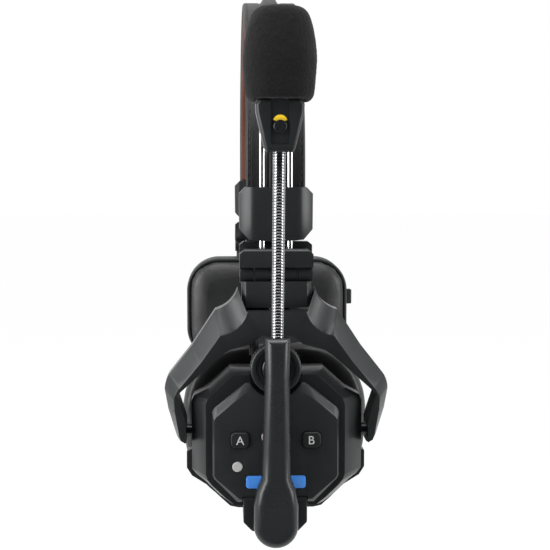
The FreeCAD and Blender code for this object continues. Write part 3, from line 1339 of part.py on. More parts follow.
def make_boom_arm():
    body = piece("boom_arm")
    face = boom_sketch(body, "arm_face", "XZ_Plane", "dims.arm_back_y")
    half = corners("arm_top", "arm_waist", "arm_mid", "arm_low", "arm_flare", "arm_cheek")
    half.append(corner("arm_hub", "-(dims.arm_hub_x)"))
    foot = "dims.arm_hub_z - dims.arm_hub_x"
    half.append(("0", foot, "-(dims.arm_hub_x)"))
    outline(face, mirrored(half))
    made = pad(body, face, "dims.arm_front_y - dims.arm_back_y")
    front = -size("arm_front_y")
    made = round_edges(body, made, lambda edge: lies_at_y(edge, front), "dims.arm_round")
    rear = -size("arm_back_y")
    made = round_edges(body, made, lambda edge: lies_at_y(edge, rear), "dims.arm_rear_round")
    doc.recompute()
    bore = boom_sketch(body, "arm_bore", "XZ_Plane", "dims.arm_back_y")
    circle(bore, "0", "dims.pivot_z", "dims.pivot_bore_radius")
    pocket(body, bore, "dims.pivot_front_y - dims.arm_back_y + 0.2", turned=True)
    socket = boom_sketch(body, "arm_socket", "XY_Plane", "dims.neck_foot_z")
    circle(socket, "0", "-(dims.boom_y)", "dims.neck_socket_radius")
    pocket(body, socket, turned=True)
    lean(body)


# Gooseneck: one steel tube whose ribs are a ruled loft through four circles each
def make_gooseneck():
    made = doc.addObject("Part::Feature", "gooseneck")
    ribs = int(size("neck_ribs"))
    top = size("neck_rib_top_z")
    pitch = (top - size("neck_rib_foot_z")) / ribs
    crest = size("neck_radius")
    groove = size("neck_groove_radius")
    plain = size("neck_end_radius")
    steps = [(size("neck_top_z"), plain), (top, plain)]
    for index in range(ribs):
        level = top - index * pitch
        steps += [(level - 0.08 * pitch, groove), (level - 0.3 * pitch, crest),
                  (level - 0.7 * pitch, crest), (level - 0.92 * pitch, groove)]
    steps += [(size("neck_rib_foot_z"), plain), (size("neck_foot_z"), plain)]
    middle = Vector(size("mount_x"), -size("boom_y"), 0)
    wires = []
    for level, radius in steps:
        ring = Part.Circle(middle + Vector(0, 0, level), Vector(0, 0, 1), radius)
        wires.append(Part.Wire([ring.toShape()]))
    tube = Part.makeLoft(wires, True, True)
    length = size("neck_top_z") - size("neck_foot_z")
    foot = middle + Vector(0, 0, size("neck_foot_z") - 1)
    bore = Part.makeCylinder(size("neck_bore_radius"), length + 2, foot)
    made.Shape = tube.cut(bore)
    made.Label = "gooseneck"
    pieces.append(made)
    lean(made)


# Microphone head: housing, marker, slide button, capsule and windscreen
def make_mic_housing():
    body = piece("mic_housing")
    face = boom_sketch(body, "mic_face", "XZ_Plane", "dims.mic_back_y")
    outline(face, mirrored(corners("mic_top", "mic_shoulder", "mic_side", "mic_low",
                                   "mic_foot")))
    made = pad(body, face, "dims.mic_front_y - dims.mic_back_y")
    front = -size("mic_front_y")
    made = round_edges(body, made, lambda edge: lies_at_y(edge, front), "dims.mic_round")
    doc.recompute()
    panel = boom_sketch(body, "mic_panel", "XZ_Plane", "dims.mic_panel_y")
    outline(panel, rounded_box("0", "((dims.mic_panel_foot_z - 30) / 2)", "dims.mic_panel_half",
                               "((-30 - dims.mic_panel_foot_z) / 2)", "1"))
    pocket(body, panel, turned=True)
    slot = boom_sketch(body, "mic_slot", "XZ_Plane", "dims.mic_panel_y - 2.2")
    outline(slot, box_corners("-(dims.mic_stem_half_width) - 0.15",
                              "dims.mic_stem_half_width + 0.15",
                              "dims.mic_stem_z - dims.mic_stem_half_height - 0.15",
                              "dims.mic_stem_z + dims.mic_stem_half_height + 0.15"
                              " + dims.mic_switch_travel"))
    pocket(body, slot, turned=True)
    seat = boom_sketch(body, "marker_seat", "XZ_Plane", "dims.mic_panel_y - 0.4")
    outline(seat, marker_outline())
    pocket(body, seat, turned=True)
    socket = boom_sketch(body, "mic_socket", "XY_Plane", "dims.neck_top_z + 0.1")
    circle(socket, "0", "-(dims.boom_y)", "dims.neck_socket_radius")
    pocket(body, socket)
    lean(body)


def marker_outline():
    # a crescent above the slide button: a wide arc over a flatter one
    half = "dims.marker_radius - 0.1"
    edge = "dims.marker_z + 0.6"
    return [
        (minus(half), edge, "-(dims.marker_radius)"),
        (half, edge, None),
        ("1.25", "dims.marker_z + 0.3", None),
        ("-(1.25)", "dims.marker_z + 0.3", None),
    ]


def make_mic_marker():
    body = piece("mic_marker")
    face = boom_sketch(body, "marker_face", "XZ_Plane", "dims.mic_panel_y - 0.4")
    outline(face, marker_outline())
    pad(body, face, "0.45")
    lean(body)


def make_mic_switch():
    body = piece("mic_switch")
    cap = boom_sketch(body, "mic_switch_cap", "XZ_Plane", "dims.mic_panel_y + 0.1")
    circle(cap, "0", "dims.mic_switch_z", "dims.mic_switch_radius")
    made = pad(body, cap, "dims.mic_switch_front_y - dims.mic_panel_y - 0.1")
    front = -size("mic_switch_front_y")
    round_edges(body, made, lambda edge: lies_at_y(edge, front), "0.35")
    stem = boom_sketch(body, "mic_switch_stem", "XZ_Plane", "dims.mic_panel_y - 1.9")
    outline(stem, box_corners("-(dims.mic_stem_half_width)", "dims.mic_stem_half_width",
                              "dims.mic_stem_z - dims.mic_stem_half_height",
                              "dims.mic_stem_z + dims.mic_stem_half_height"))
    pad(body, stem, "2.1")
    lean(body)


def make_mic_capsule():
    made = cylinder("mic_capsule", "dims.capsule_radius", "dims.capsule_top_z - dims.mic_top_z",
                    ("dims.mount_x", "-(dims.boom_y)", "dims.mic_top_z"), Vector(0, 0, 1))
    made.setExpression("Placement.Base.x", None)
    made.setExpression("Placement.Base.y", None)
    made.setExpression("Placement.Base.z", None)
    made.Label = "mic_capsule"
    pieces.append(made)
    upright = made.Placement
    lean(made)
    made.Placement = made.Placement.multiply(upright)


def make_foam_windscreen():
    body = piece("foam_windscreen")
    section = sketch_on(body, "foam_section", "XZ_Plane", "dims.boom_y", across="dims.mount_x")
    outline(section, [
        ("0", "dims.foam_top_z", None),
        ("dims.foam_top_radius", "dims.foam_top_z", "-(5.6)"),
        ("dims.foam_shoulder_radius", "dims.foam_shoulder_z", "-(42)"),
        ("dims.foam_radius", "dims.foam_wide_z", "-(40)"),
        ("dims.foam_radius - 0.4", "dims.foam_foot_z + 3.2", "-(3.6)"),
        ("dims.foam_foot_radius", "dims.foam_foot_z", None),
        ("dims.capsule_radius + 0.15", "dims.foam_foot_z", None),
        ("dims.capsule_radius + 0.15", "dims.foam_bore_top_z", None),
        ("0", "dims.foam_bore_top_z", None),
    ])
    revolve(body, section, "V_Axis")
    doc.recompute()
    mouth = boom_sketch(body, "foam_mouth", "XZ_Plane")
    outline(mouth, box_corners("-(dims.mic_shoulder_x) - 0.2", "dims.mic_shoulder_x + 0.2",
                               "dims.foam_foot_z - 1", "dims.mic_top_z + 0.05"))
    pocket(body, mouth, "400", middle=True)
    lean(body)


# Temple side: bracket, battery box, battery, lid, cushion, door and power switch
def make_temple_bracket():
    body = piece("temple_bracket")
    plate = sketch_on(body, "bracket_plate", "XZ_Plane", "dims.temple_outer_y")
    outline(plate, mirrored(corners("bracket_neck", "bracket_flare", "bracket_foot",
                                    "bracket_toe")))
    pad(body, plate, "dims.bracket_plate_y - dims.temple_outer_y")
    neck = sketch_on(body, "bracket_neck_outline", "XZ_Plane", "dims.temple_outer_y + 3.4")
    outline(neck, mirrored([corner("bracket_top"),
                            ("dims.bracket_top_x", "dims.bracket_neck_foot_z + 2", None),
                            ("dims.bracket_top_x - 2", "dims.bracket_neck_foot_z", None)]))
    made = pad(body, neck, "dims.bracket_neck_y - dims.temple_outer_y - 3.4")
    level = -size("bracket_neck_y")
    round_edges(body, made, lambda edge: lies_at_y(edge, level), "0.8")
    doc.recompute()
    bore = sketch_on(body, "bracket_bore", "XY_Plane")
    circle(bore, "0", "-(dims.swivel_y)", "dims.swivel_bore_radius")
    pocket(body, bore)
    seat = sketch_on(body, "bracket_bolt_seat", "XY_Plane", "dims.swivel_head_z + 0.15")
    circle(seat, "0", "-(dims.swivel_y)", "dims.swivel_seat_radius")
    pocket(body, seat)
    holes = sketch_on(body, "bracket_holes", "XZ_Plane")
    for across in ("dims.bracket_screw_x", "-(dims.bracket_screw_x)"):
        circle(holes, across, "dims.bracket_screw_z", "dims.screw_shank_radius")
    pocket_all_y(body, holes)
    to_far_side(body)


def make_bracket_screws():
    shapes = []
    face = "dims.bracket_plate_y + dims.screw_head_thick"
    for name, across in (("a", "dims.bracket_screw_x"), ("b", "-(dims.bracket_screw_x)")):
        spot = (across, face, "dims.bracket_screw_z")
        shapes.append(cylinder(f"bracket_screw_head_{name}", "dims.screw_head_radius",
                               "dims.screw_head_thick", spot, Vector(0, -1, 0)))
        shapes.append(cylinder(f"bracket_screw_shank_{name}", "dims.screw_shank_radius",
                               "dims.screw_length + 4.2", spot, Vector(0, -1, 0)))
    joined("bracket_screws", shapes)


def temple_outline(shrink="0", corner_shrink="0"):
    return rounded_box("dims.temple_x", "dims.temple_z",
                       f"(dims.temple_half_width - {shrink})",
                       f"(dims.temple_half_height - {shrink})",
                       f"(dims.temple_corner - {corner_shrink})")


def make_temple_box():
    body = piece("temple_box")
    outer = sketch_on(body, "temple_outline", "XZ_Plane", "-(dims.temple_seam_y)")
    outline(outer, temple_outline())
    made = pad(body, outer, "dims.temple_outer_y - dims.temple_seam_y", turned=True)
    level = size("temple_outer_y")
    round_edges(body, made, lambda edge: lies_at_y(edge, level), "dims.temple_round")
    doc.recompute()
    hollow = sketch_on(body, "temple_hollow", "XZ_Plane", "-(dims.temple_seam_y)")
    outline(hollow, temple_outline("dims.temple_wall", "4"))
    pocket(body, hollow, "dims.temple_floor_y - dims.temple_seam_y")
    recess = sketch_on(body, "door_recess", "XZ_Plane", "-(dims.door_back_y)")
    outline(recess, box_corners("dims.temple_x - dims.door_half_width - 0.15",
                                "dims.temple_x + dims.door_half_width + 0.15",
                                "dims.temple_z - dims.temple_half_height - 1",
                                "dims.door_top_z + 0.15"))
    pocket(body, recess)
    slot = sketch_on(body, "power_slot", "YZ_Plane", "dims.power_stem_x - 1")
    outline(slot, box_corners("dims.power_y - 0.95", "dims.power_y + 0.95",
                              "dims.power_z - 1.65", "dims.power_z + 1.65 + dims.power_travel"))
    pocket(body, slot, turned=True)
    holes = sketch_on(body, "temple_screw_holes", "XZ_Plane", "-(dims.temple_floor_y) + 0.5")
    for across in ("dims.bracket_screw_x", "-(dims.bracket_screw_x)"):
        circle(holes, across, "dims.bracket_screw_z", "dims.screw_shank_radius")
    pocket(body, holes)


def make_temple_rim():
    body = piece("temple_rim")
    outer = sketch_on(body, "rim_outline", "XZ_Plane", "-(dims.temple_inner_y)")
    outline(outer, temple_outline())
    made = pad(body, outer, "dims.temple_seam_y - dims.temple_inner_y", turned=True)
    level = size("temple_inner_y")
    round_edges(body, made, lambda edge: lies_at_y(edge, level), "0.7")
    doc.recompute()
    seat = sketch_on(body, "rim_seat", "XZ_Plane", "-(dims.temple_inner_y)")
    outline(seat, temple_outline("dims.rest_margin", "dims.rest_margin"))
    pocket(body, seat, "dims.temple_seat_y - dims.temple_inner_y")


def make_temple_pad():
    body = piece("temple_pad")
    levels = [
        ("seat", "dims.temple_seat_y", "2.2"),
        ("swell", "dims.rest_swell_y", "1.8"),
        ("edge", "dims.rest_edge_y", "3.2"),
        ("crown", "dims.rest_crown_y", "9"),
    ]
    sketches = []
    for name, level, shrink in levels:
        ring = sketch_on(body, f"rest_{name}", "XZ_Plane", minus(level))
        outline(ring, temple_outline(shrink, shrink))
        sketches.append(ring)
    loft(body, sketches, ruled=False)


def make_battery():
    body = piece("battery")
    face = sketch_on(body, "battery_outline", "XZ_Plane", "-(dims.battery_front_y)")
    outline(face, rounded_box("dims.temple_x", "dims.temple_z", "dims.battery_half_width",
                              "dims.battery_half_height", "2.5"))
    pad(body, face, "dims.battery_back_y - dims.battery_front_y", turned=True)
    board = piece("power_board")
    card = sketch_on(board, "power_card", "XZ_Plane", "-(dims.temple_seam_y) - 0.4")
    outline(card, rounded_box("dims.temple_x", "dims.temple_z", "28", "15", "1.5"))
    pad(board, card, "1.2", turned=True)


def make_battery_door():
    body = piece("battery_door")
    face = sketch_on(body, "door_outline", "XZ_Plane", "-(dims.door_back_y) - 0.05")
    outline(face, box_corners("dims.temple_x - dims.door_half_width",
                              "dims.temple_x + dims.door_half_width",
                              "dims.door_foot_z", "dims.door_top_z"))
    pad(body, face, "dims.door_face_y - dims.door_back_y - 0.05", turned=True)
    doc.recompute()
    for index in range(3):
        name = f"door_groove_{index}"
        groove = sketch_on(body, name, "XZ_Plane", "-(dims.door_face_y) + 0.4")
        height = f"dims.door_top_z - {4 + 2 * index}"
        outline(groove, box_corners("dims.temple_x - 6", "dims.temple_x + 6",
                                    f"{height} - 0.9", height))
        pocket(body, groove)


def make_power_switch():
    body = piece("power_switch")
    cap = sketch_on(body, "power_cap", "YZ_Plane", "dims.power_face_x")
    outline(cap, box_corners("dims.power_y - dims.power_half_depth",
                             "dims.power_y + dims.power_half_depth",
                             "dims.power_z - dims.power_half_height",
                             "dims.power_z + dims.power_half_height"))
    made = pad(body, cap, "dims.power_proud_x - dims.power_face_x")
    level = size("power_proud_x")

    def outer(edge):
        box = edge.BoundBox
        return abs(box.XMin - level) < 1e-4

    round_edges(body, made, outer, "0.6")
    stem = sketch_on(body, "power_stem", "YZ_Plane", "dims.power_stem_x")
    outline(stem, box_corners("dims.power_y - 0.8", "dims.power_y + 0.8",
                              "dims.power_z - 1.5", "dims.power_z + 1.5"))
    pad(body, stem, "dims.power_face_x - dims.power_stem_x + 0.1")


make_headband_spring()
make_headband_cover()
make_band_cable()
make_headband_pad()
for side in ("near", "far"):
    make_slider_clamp(side)
    make_clamp_screws(side)
    make_size_rods(side)
    make_hinge_block(side)
    make_hinge_pin(side)
    make_hinge_knuckle(side)
    make_swivel_bolt(side)
    make_swivel_washer(side)
make_yoke()
make_tilt_pins()
make_lead_boot()
make_signal_lead()
make_cup_shell()
make_control_plate()
make_button("a", "-(dims.button_x)")
make_button("b", "dims.button_x")
make_plates_and_lights()
make_main_board()
make_cup_back()
make_speaker()
make_ear_cushion()
make_volume_knob()
make_boom_mount()
make_boom_pivot()
make_boom_arm()
make_gooseneck()
make_mic_housing()
make_mic_marker()
make_mic_switch()
make_mic_capsule()
make_foam_windscreen()
make_temple_bracket()
make_bracket_screws()
make_temple_box()
make_temple_rim()
make_temple_pad()
make_battery()
make_battery_door()
make_power_switch()
doc.recompute()

failed = [item.Name for item in doc.Objects if "Invalid" in item.State or "Error" in item.State]
if failed:
    raise RuntimeError(f"features failed: {failed}")
for made in pieces:
    if made.Shape.isNull() or not made.Shape.isValid():
        raise RuntimeError(f"{made.Label} has no valid shape")

os.makedirs("parts", exist_ok=True)
for made in pieces:
    made.Shape.exportStep(f"parts/{made.Label}.step")
print(f"{len(pieces)} pieces written")
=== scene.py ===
import functools
import json
import math

import bmesh
import bpy
from bpy.props import FloatProperty, FloatVectorProperty, IntProperty, PointerProperty
from mathutils import Matrix, Vector, noise
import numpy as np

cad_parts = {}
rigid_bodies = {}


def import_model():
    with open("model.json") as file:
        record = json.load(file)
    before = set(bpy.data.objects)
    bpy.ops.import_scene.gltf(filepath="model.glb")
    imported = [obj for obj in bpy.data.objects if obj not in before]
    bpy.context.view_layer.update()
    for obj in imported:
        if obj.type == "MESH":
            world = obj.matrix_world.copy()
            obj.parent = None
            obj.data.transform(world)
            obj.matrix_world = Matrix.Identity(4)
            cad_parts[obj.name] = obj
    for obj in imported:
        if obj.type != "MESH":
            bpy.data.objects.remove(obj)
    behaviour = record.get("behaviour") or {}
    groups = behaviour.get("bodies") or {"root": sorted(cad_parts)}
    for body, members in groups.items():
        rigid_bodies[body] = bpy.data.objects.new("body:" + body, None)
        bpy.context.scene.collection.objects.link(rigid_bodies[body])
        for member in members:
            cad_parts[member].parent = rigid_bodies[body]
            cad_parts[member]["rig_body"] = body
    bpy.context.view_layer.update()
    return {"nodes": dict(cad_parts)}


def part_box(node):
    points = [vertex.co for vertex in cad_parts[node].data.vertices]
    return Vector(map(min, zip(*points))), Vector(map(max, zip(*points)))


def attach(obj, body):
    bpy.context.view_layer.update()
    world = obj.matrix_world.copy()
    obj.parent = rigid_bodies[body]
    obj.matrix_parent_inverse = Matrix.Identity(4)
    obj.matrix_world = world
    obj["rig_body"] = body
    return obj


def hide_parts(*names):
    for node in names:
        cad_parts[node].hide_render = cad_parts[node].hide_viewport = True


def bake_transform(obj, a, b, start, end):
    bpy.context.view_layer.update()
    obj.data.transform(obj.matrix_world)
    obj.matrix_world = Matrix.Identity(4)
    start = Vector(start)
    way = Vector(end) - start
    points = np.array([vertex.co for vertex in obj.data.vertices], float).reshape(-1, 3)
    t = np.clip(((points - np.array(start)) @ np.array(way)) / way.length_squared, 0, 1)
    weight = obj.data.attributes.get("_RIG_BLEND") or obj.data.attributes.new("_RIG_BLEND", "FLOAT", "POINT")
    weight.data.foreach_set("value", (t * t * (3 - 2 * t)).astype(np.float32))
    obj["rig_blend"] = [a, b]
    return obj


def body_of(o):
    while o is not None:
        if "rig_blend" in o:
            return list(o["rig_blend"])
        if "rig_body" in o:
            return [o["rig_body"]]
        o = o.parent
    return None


bl_info = {
    "name": "Crew Headset Dresser",
    "version": (1, 0, 0),
    "blender": (4, 5, 0),
    "location": "View3D > Sidebar > Headset",
    "description": "Dresses the packed crew headset with its cushions, mouldings and finishes",
    "category": "Object",
}

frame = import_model()
NODES = frame["nodes"]
MM = 0.001
WELD = 0.002 * MM

# The headband's arch: spring strip mid-line, in millimetres across Y and up Z
CROWN_RADIUS = 85.9
SIDE_RADIUS = 52.1
CROWN_Z = 5.9
CROWN_CENTRE_Z = CROWN_Z - CROWN_RADIUS
SIDE_SHIFT = (CROWN_RADIUS - SIDE_RADIUS) * math.sin(math.radians(45))
SIDE_CENTRE_Z = CROWN_CENTRE_Z + SIDE_SHIFT
ARCH_SPAN = SIDE_SHIFT + SIDE_RADIUS
LEG_STEPS, SIDE_STEPS, CROWN_STEPS = 8, 22, 36

# The boom leans a little about its pivot, 0.48 degrees from upright
PIVOT = Vector((-0.9, -100.0, -170.8)) * MM
LEAN_TURN = Matrix.Rotation(math.radians(0.48), 4, "Y")
LEAN = Matrix.Translation(PIVOT) @ LEAN_TURN @ Matrix.Translation(-PIVOT)


def length(name, description, default, low, high):
    """A length property, given in millimetres."""
    return FloatProperty(name=name, description=description, default=default * MM,
                         min=low * MM, max=high * MM, unit="LENGTH")


def shade(name, description, default):
    return FloatVectorProperty(name=name, description=description, subtype="COLOR",
                               default=default, size=3, min=0, max=1)


class HeadsetSizes(bpy.types.PropertyGroup):
    """Sizes that a user may change before the pieces are made."""

    edge: length("Edge radius", "Rounding of the large mouldings' edges", 0.45, 0.05, 1.2)
    small_edge: length("Small edge radius", "Rounding of small pieces' edges", 0.18, 0.02, 0.6)
    stuffing: FloatProperty(name="Stuffing", default=4.0, min=0.5, max=12.0,
                            description="Air pressure in the cushions while they swell")
    rib_pitch: length("Rib pitch", "Distance between the gooseneck's ribs", 0.95, 0.8, 2.5)
    flutes: IntProperty(name="Knob flutes", description="Number of grip flutes round the knob",
                        default=44, min=12, max=90)
    lettering: length("Letter height", "Height of the letters on the buttons", 2.9, 1, 5)


class HeadsetColours(bpy.types.PropertyGroup):
    """Colours of the finishes, linear."""

    plastic: shade("Plastic", "Black moulded plastic", (0.0125, 0.0140, 0.0148))
    skin: shade("Skin", "Black imitation leather", (0.0115, 0.0118, 0.0120))
    lining: shade("Lining", "Reddish-brown leather", (0.080, 0.021, 0.010))
    foam: shade("Foam", "Windscreen foam", (0.0045, 0.0045, 0.0048))
    steel: shade("Steel", "Plated steel", (0.42, 0.43, 0.44))
    marker: shade("Marker", "Yellow mark", (0.82, 0.55, 0.02))
    badge: shade("Badge", "Blue plate", (0.045, 0.20, 0.60))
    print_white: shade("Print", "Letters on the buttons", (0.42, 0.42, 0.42))


def sizes():
    return bpy.context.scene.headset_sizes


def colours():
    return bpy.context.scene.headset_colours


# Selection and mesh helpers
def deselect():
    active = bpy.context.view_layer.objects.active
    if active and active.mode != "OBJECT":
        bpy.ops.object.mode_set(mode="OBJECT")
    bpy.ops.object.select_all(action="DESELECT")


def pick(piece):
    deselect()
    piece.select_set(True)
    bpy.context.view_layer.objects.active = piece


def edit_all(piece):
    pick(piece)
    bpy.ops.object.mode_set(mode="EDIT")
    bpy.ops.mesh.select_all(action="SELECT")


def leave_edit():
    bpy.ops.object.mode_set(mode="OBJECT")


def modify(piece, kind, **settings):
    """Adds a modifier and applies it."""
    pick(piece)
    modifier = piece.modifiers.new(kind.title(), kind)
    for name, value in settings.items():
        setattr(modifier, name, value)
    bpy.ops.object.modifier_apply(modifier=modifier.name)


def close_up(piece):
    """Welds the seams and turns the normals outward."""
    edit_all(piece)
    bpy.ops.mesh.remove_doubles(threshold=WELD)
    bpy.ops.mesh.normals_make_consistent(inside=False)
    leave_edit()


def dress(piece, name, finish, angle=None):
    """Puts the piece's place in its mesh, names it, shades it and gives it its finish."""
    pick(piece)
    bpy.ops.object.transform_apply(location=True, rotation=True, scale=True)
    piece.name = name
    piece.data.name = name
    if angle is None:
        bpy.ops.object.shade_smooth()
    else:
        bpy.ops.object.shade_smooth_by_angle(angle=math.radians(angle))
    piece.data.materials.clear()
    piece.data.materials.append(finish_named(finish))


def settle(piece, name, body, finish, replaced=(), angle=None):
    """Dresses the piece and hangs it on its body."""
    dress(piece, name, finish, angle)
    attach(piece, body)
    if replaced:
        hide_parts(*replaced)


def join(first, *others):
    """Joins the others to the first piece."""
    pick(first)
    for other in others:
        other.select_set(True)
    bpy.ops.object.join()


def copy_of(node, name):
    """A merged copy of a CAD node's mesh, as a new object."""
    piece = bpy.data.objects.new(name, NODES[node].data.copy())
    bpy.context.collection.objects.link(piece)
    pick(piece)
    if piece.data.has_custom_normals:
        bpy.ops.mesh.customdata_custom_splitnormals_clear()
    edit_all(piece)
    bpy.ops.mesh.remove_doubles(threshold=WELD)
    leave_edit()
    return piece


def soften(node, width, finish, segments, angle=26):
    """A copy of a moulding, its edges over the angle rounded, stands for the CAD node."""
    piece = copy_of(node, f"{node}_moulded")
    edit_all(piece)
    bpy.ops.mesh.dissolve_limited(angle_limit=math.radians(0.6))
    leave_edit()
    modify(piece, "BEVEL", width=width, segments=segments, limit_method="ANGLE",
           angle_limit=math.radians(angle), miter_outer="MITER_ARC")
    modify(piece, "TRIANGULATE", quad_method="BEAUTY")
    body = body_of(NODES[node])[0]
    settle(piece, f"{node}_moulded", body, finish, [node], angle=34)


def paint(node, finish):
    """Gives a CAD node that stays its finish."""
    for holder in NODES[node].material_slots:
        holder.link = "OBJECT"
        holder.material = finish_named(finish)


def middle_of(node):
    """Middle of a CAD node's box, in millimetres."""
    low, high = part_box(node)
    return (low + high) / 2 / MM


def rise(height, steps):
    """Extrudes the selection upward in equal steps."""
    for _ in range(steps):
        bpy.ops.mesh.extrude_region_move(
            TRANSFORM_OT_translate={"value": (0, 0, height * MM / steps)})


def over_the_arch(points, foot):
    """Draws a section, given in millimetres, up one leg, over the crown and down the other."""
    deselect()
    bpy.ops.mesh.primitive_circle_add(vertices=len(points), radius=0.01)
    piece = bpy.context.object
    edit_all(piece)
    mesh = bmesh.from_edit_mesh(piece.data)
    for vertex, point in zip(mesh.verts, points):
        vertex.co = Vector(point) * MM
    bmesh.update_edit_mesh(piece.data)
    rise(SIDE_CENTRE_Z - foot, LEG_STEPS)
    for y, z, degrees, steps in ((-SIDE_SHIFT, SIDE_CENTRE_Z, 45, SIDE_STEPS),
                                 (0, CROWN_CENTRE_Z, 90, CROWN_STEPS),
                                 (SIDE_SHIFT, SIDE_CENTRE_Z, 45, SIDE_STEPS)):
        bpy.ops.mesh.spin(steps=steps, angle=math.radians(degrees), center=(0, y * MM, z * MM),
                          axis=(1, 0, 0))
    rise(foot - SIDE_CENTRE_Z, LEG_STEPS)
    bpy.ops.mesh.select_all(action="SELECT")
    bpy.ops.mesh.remove_doubles(threshold=WELD)
    bpy.ops.mesh.select_all(action="DESELECT")
    bpy.ops.mesh.select_mode(type="EDGE")
    bpy.ops.mesh.select_non_manifold()
    bpy.ops.mesh.fill_holes(sides=0)
    close_up(piece)
    return piece


def turned(profile, centre, axis, steps):
    """Spins an open profile, given as (distance along, radius), a full turn about an axis."""
    deselect()
    bpy.ops.mesh.primitive_plane_add(size=0.01)
    piece = bpy.context.object
    edit_all(piece)
    mesh = bmesh.from_edit_mesh(piece.data)
    bmesh.ops.delete(mesh, geom=mesh.verts[:], context="VERTS")
    along = Vector(axis)
    out = Vector((1, 0, 0)) if along.z else Vector((0, 0, 1))
    chain = [mesh.verts.new(Vector(centre) * MM + (along * place + out * radius) * MM)
             for place, radius in profile]
    for first, second in zip(chain, chain[1:]):
        mesh.edges.new((first, second))
    bmesh.update_edit_mesh(piece.data)
    bpy.ops.mesh.select_all(action="SELECT")
    bpy.ops.mesh.spin(steps=steps, angle=math.tau, center=Vector(centre) * MM, axis=along)
    leave_edit()
    close_up(piece)
    return piece


def smooth_step(low, high, value):
    """Rises softly from 0 at low to 1 at high."""
    share = min(max((value - low) / (high - low), 0), 1)
    return share * share * (3 - 2 * share)


def bell(value, middle, width):
    """A soft bump of height 1 round the middle."""
    return math.exp(-((value - middle) / width) ** 2)


def scale_about(piece, middle, shares):
    """Scales a mesh about a point along X, Y and Z."""
    scaled = Matrix.Diagonal((*shares, 1))
    piece.data.transform(Matrix.Translation(middle) @ scaled @ Matrix.Translation(-middle))


def with_normals(piece):
    """Each vertex with its normal as it was before any vertex is moved."""
    normals = [vertex.normal.copy() for vertex in piece.data.vertices]
    return zip(piece.data.vertices, normals)


def keep_depth(piece, low, high):
    """Holds a cushion between the front and the back of its CAD solid."""
    for vertex in piece.data.vertices:
        vertex.co.y = min(max(vertex.co.y, low.y), high.y)


# Shader groups: only heights, masks and roughness values come out of them
def new_group(name, inputs, outputs):
    """A float group, with its tree, its two ends and the object's own place."""
    tree = bpy.data.node_groups.new(name, "ShaderNodeTree")
    for label, default in inputs.items():
        socket = tree.interface.new_socket(label, in_out="INPUT", socket_type="NodeSocketFloat")
        socket.default_value = default
    for label in outputs:
        tree.interface.new_socket(label, in_out="OUTPUT", socket_type="NodeSocketFloat")
    given = tree.nodes.new("NodeGroupInput").outputs
    out = tree.nodes.new("NodeGroupOutput")
    return tree, given, out, add(tree, "TexCoord").outputs["Object"]


def new_grain(name, scale):
    tree, given, out, where = new_group(name, {"Scale": scale}, ("Height", "Mask"))
    return tree, given["Scale"], out, where


def feed(tree, socket, value):
    """Links a socket to another node's output, or else sets its value."""
    if isinstance(value, bpy.types.NodeSocket):
        tree.links.new(value, socket)
    else:
        socket.default_value = value


def put(tree, holder, **inputs):
    """Feeds inputs by their names, in which _ stands for a space."""
    for name, value in inputs.items():
        feed(tree, holder.inputs[name.replace("_", " ")], value)


def add(tree, kind, **inputs):
    made = tree.nodes.new("ShaderNode" + kind)
    put(tree, made, **inputs)
    return made


def maths(tree, operation, first, second, clamp=False):
    made = add(tree, "Math")
    made.operation = operation
    made.use_clamp = clamp
    feed(tree, made.inputs[0], first)
    feed(tree, made.inputs[1], second)
    return made.outputs[0]


def times(tree, first, second):
    return maths(tree, "MULTIPLY", first, second)


def sum_of(tree, *terms):
    """Weighted sum of two outputs, each given with its weight."""
    return maths(tree, "ADD", *(times(tree, value, weight) for value, weight in terms))


def remap(tree, source, low, high, to_low=0.0, to_high=1.0):
    return add(tree, "MapRange", Value=source, From_Min=low, From_Max=high,
               To_Min=to_low, To_Max=to_high).outputs[0]


def noise_of(tree, where, scale, detail=2.0, roughness=0.5):
    return add(tree, "TexNoise", Vector=where, Scale=scale, Detail=detail,
               Roughness=roughness).outputs["Fac"]


def cells_of(tree, where, scale, feature="F1"):
    made = add(tree, "TexVoronoi")
    made.feature = feature
    put(tree, made, Vector=where, Scale=scale)
    return made.outputs["Distance"]


def make_moulded_grain():
    """Spark-eroded texture of moulded plastic, and slow tone patches."""
    tree, scale, out, where = new_grain("Moulded grain", 2600.0)
    fine = noise_of(tree, where, scale, 3.0, 0.6)
    pits = cells_of(tree, where, times(tree, scale, 0.55))
    patch = noise_of(tree, where, 46.0, 4.0, 0.6)
    put(tree, out, Height=sum_of(tree, (fine, 0.7), (pits, 0.3)), Mask=remap(tree, patch, 0.3, 0.7))
    return tree


def make_leather_grain():
    """Rounded leather cells, creases between them darkened by painted shade, and tone patches."""
    tree, scale, out, where = new_grain("Leather grain", 1100.0)
    wander = add(tree, "TexNoise", Vector=where, Scale=420.0)
    shift = add(tree, "VectorMath")
    shift.operation = "MULTIPLY_ADD"
    for socket, value in zip(shift.inputs, (wander.outputs["Color"], [0.7 * MM] * 3, where)):
        feed(tree, socket, value)
    edges = cells_of(tree, shift.outputs[0], scale, "DISTANCE_TO_EDGE")
    crease = remap(tree, edges, 0.0, 0.22)
    small = noise_of(tree, where, times(tree, scale, 3.2), 2.0)
    patch = noise_of(tree, where, 70.0, 3.0)
    # painted shade: the creases darken the colour, over random tone patches
    patches_and_crease_shade = maths(tree, "MULTIPLY", remap(tree, patch, 0.25, 0.75), crease, clamp=True)
    put(tree, out, Height=sum_of(tree, (crease, 0.8), (small, 0.2)), Mask=patches_and_crease_shade)
    return tree


def make_foam_pores():
    """Open cells of soft foam, the pores darkened by painted shade."""
    tree, scale, out, where = new_grain("Foam pores", 1500.0)
    lumps = noise_of(tree, where, times(tree, scale, 0.3), 3.0, 0.65)
    height = sum_of(tree, (cells_of(tree, where, scale), 0.75), (lumps, 0.5))
    # painted shade: the colour follows the height, so the pores are darker
    put(tree, out, Height=height, Mask=remap(tree, height, 0.2, 0.9))
    return tree


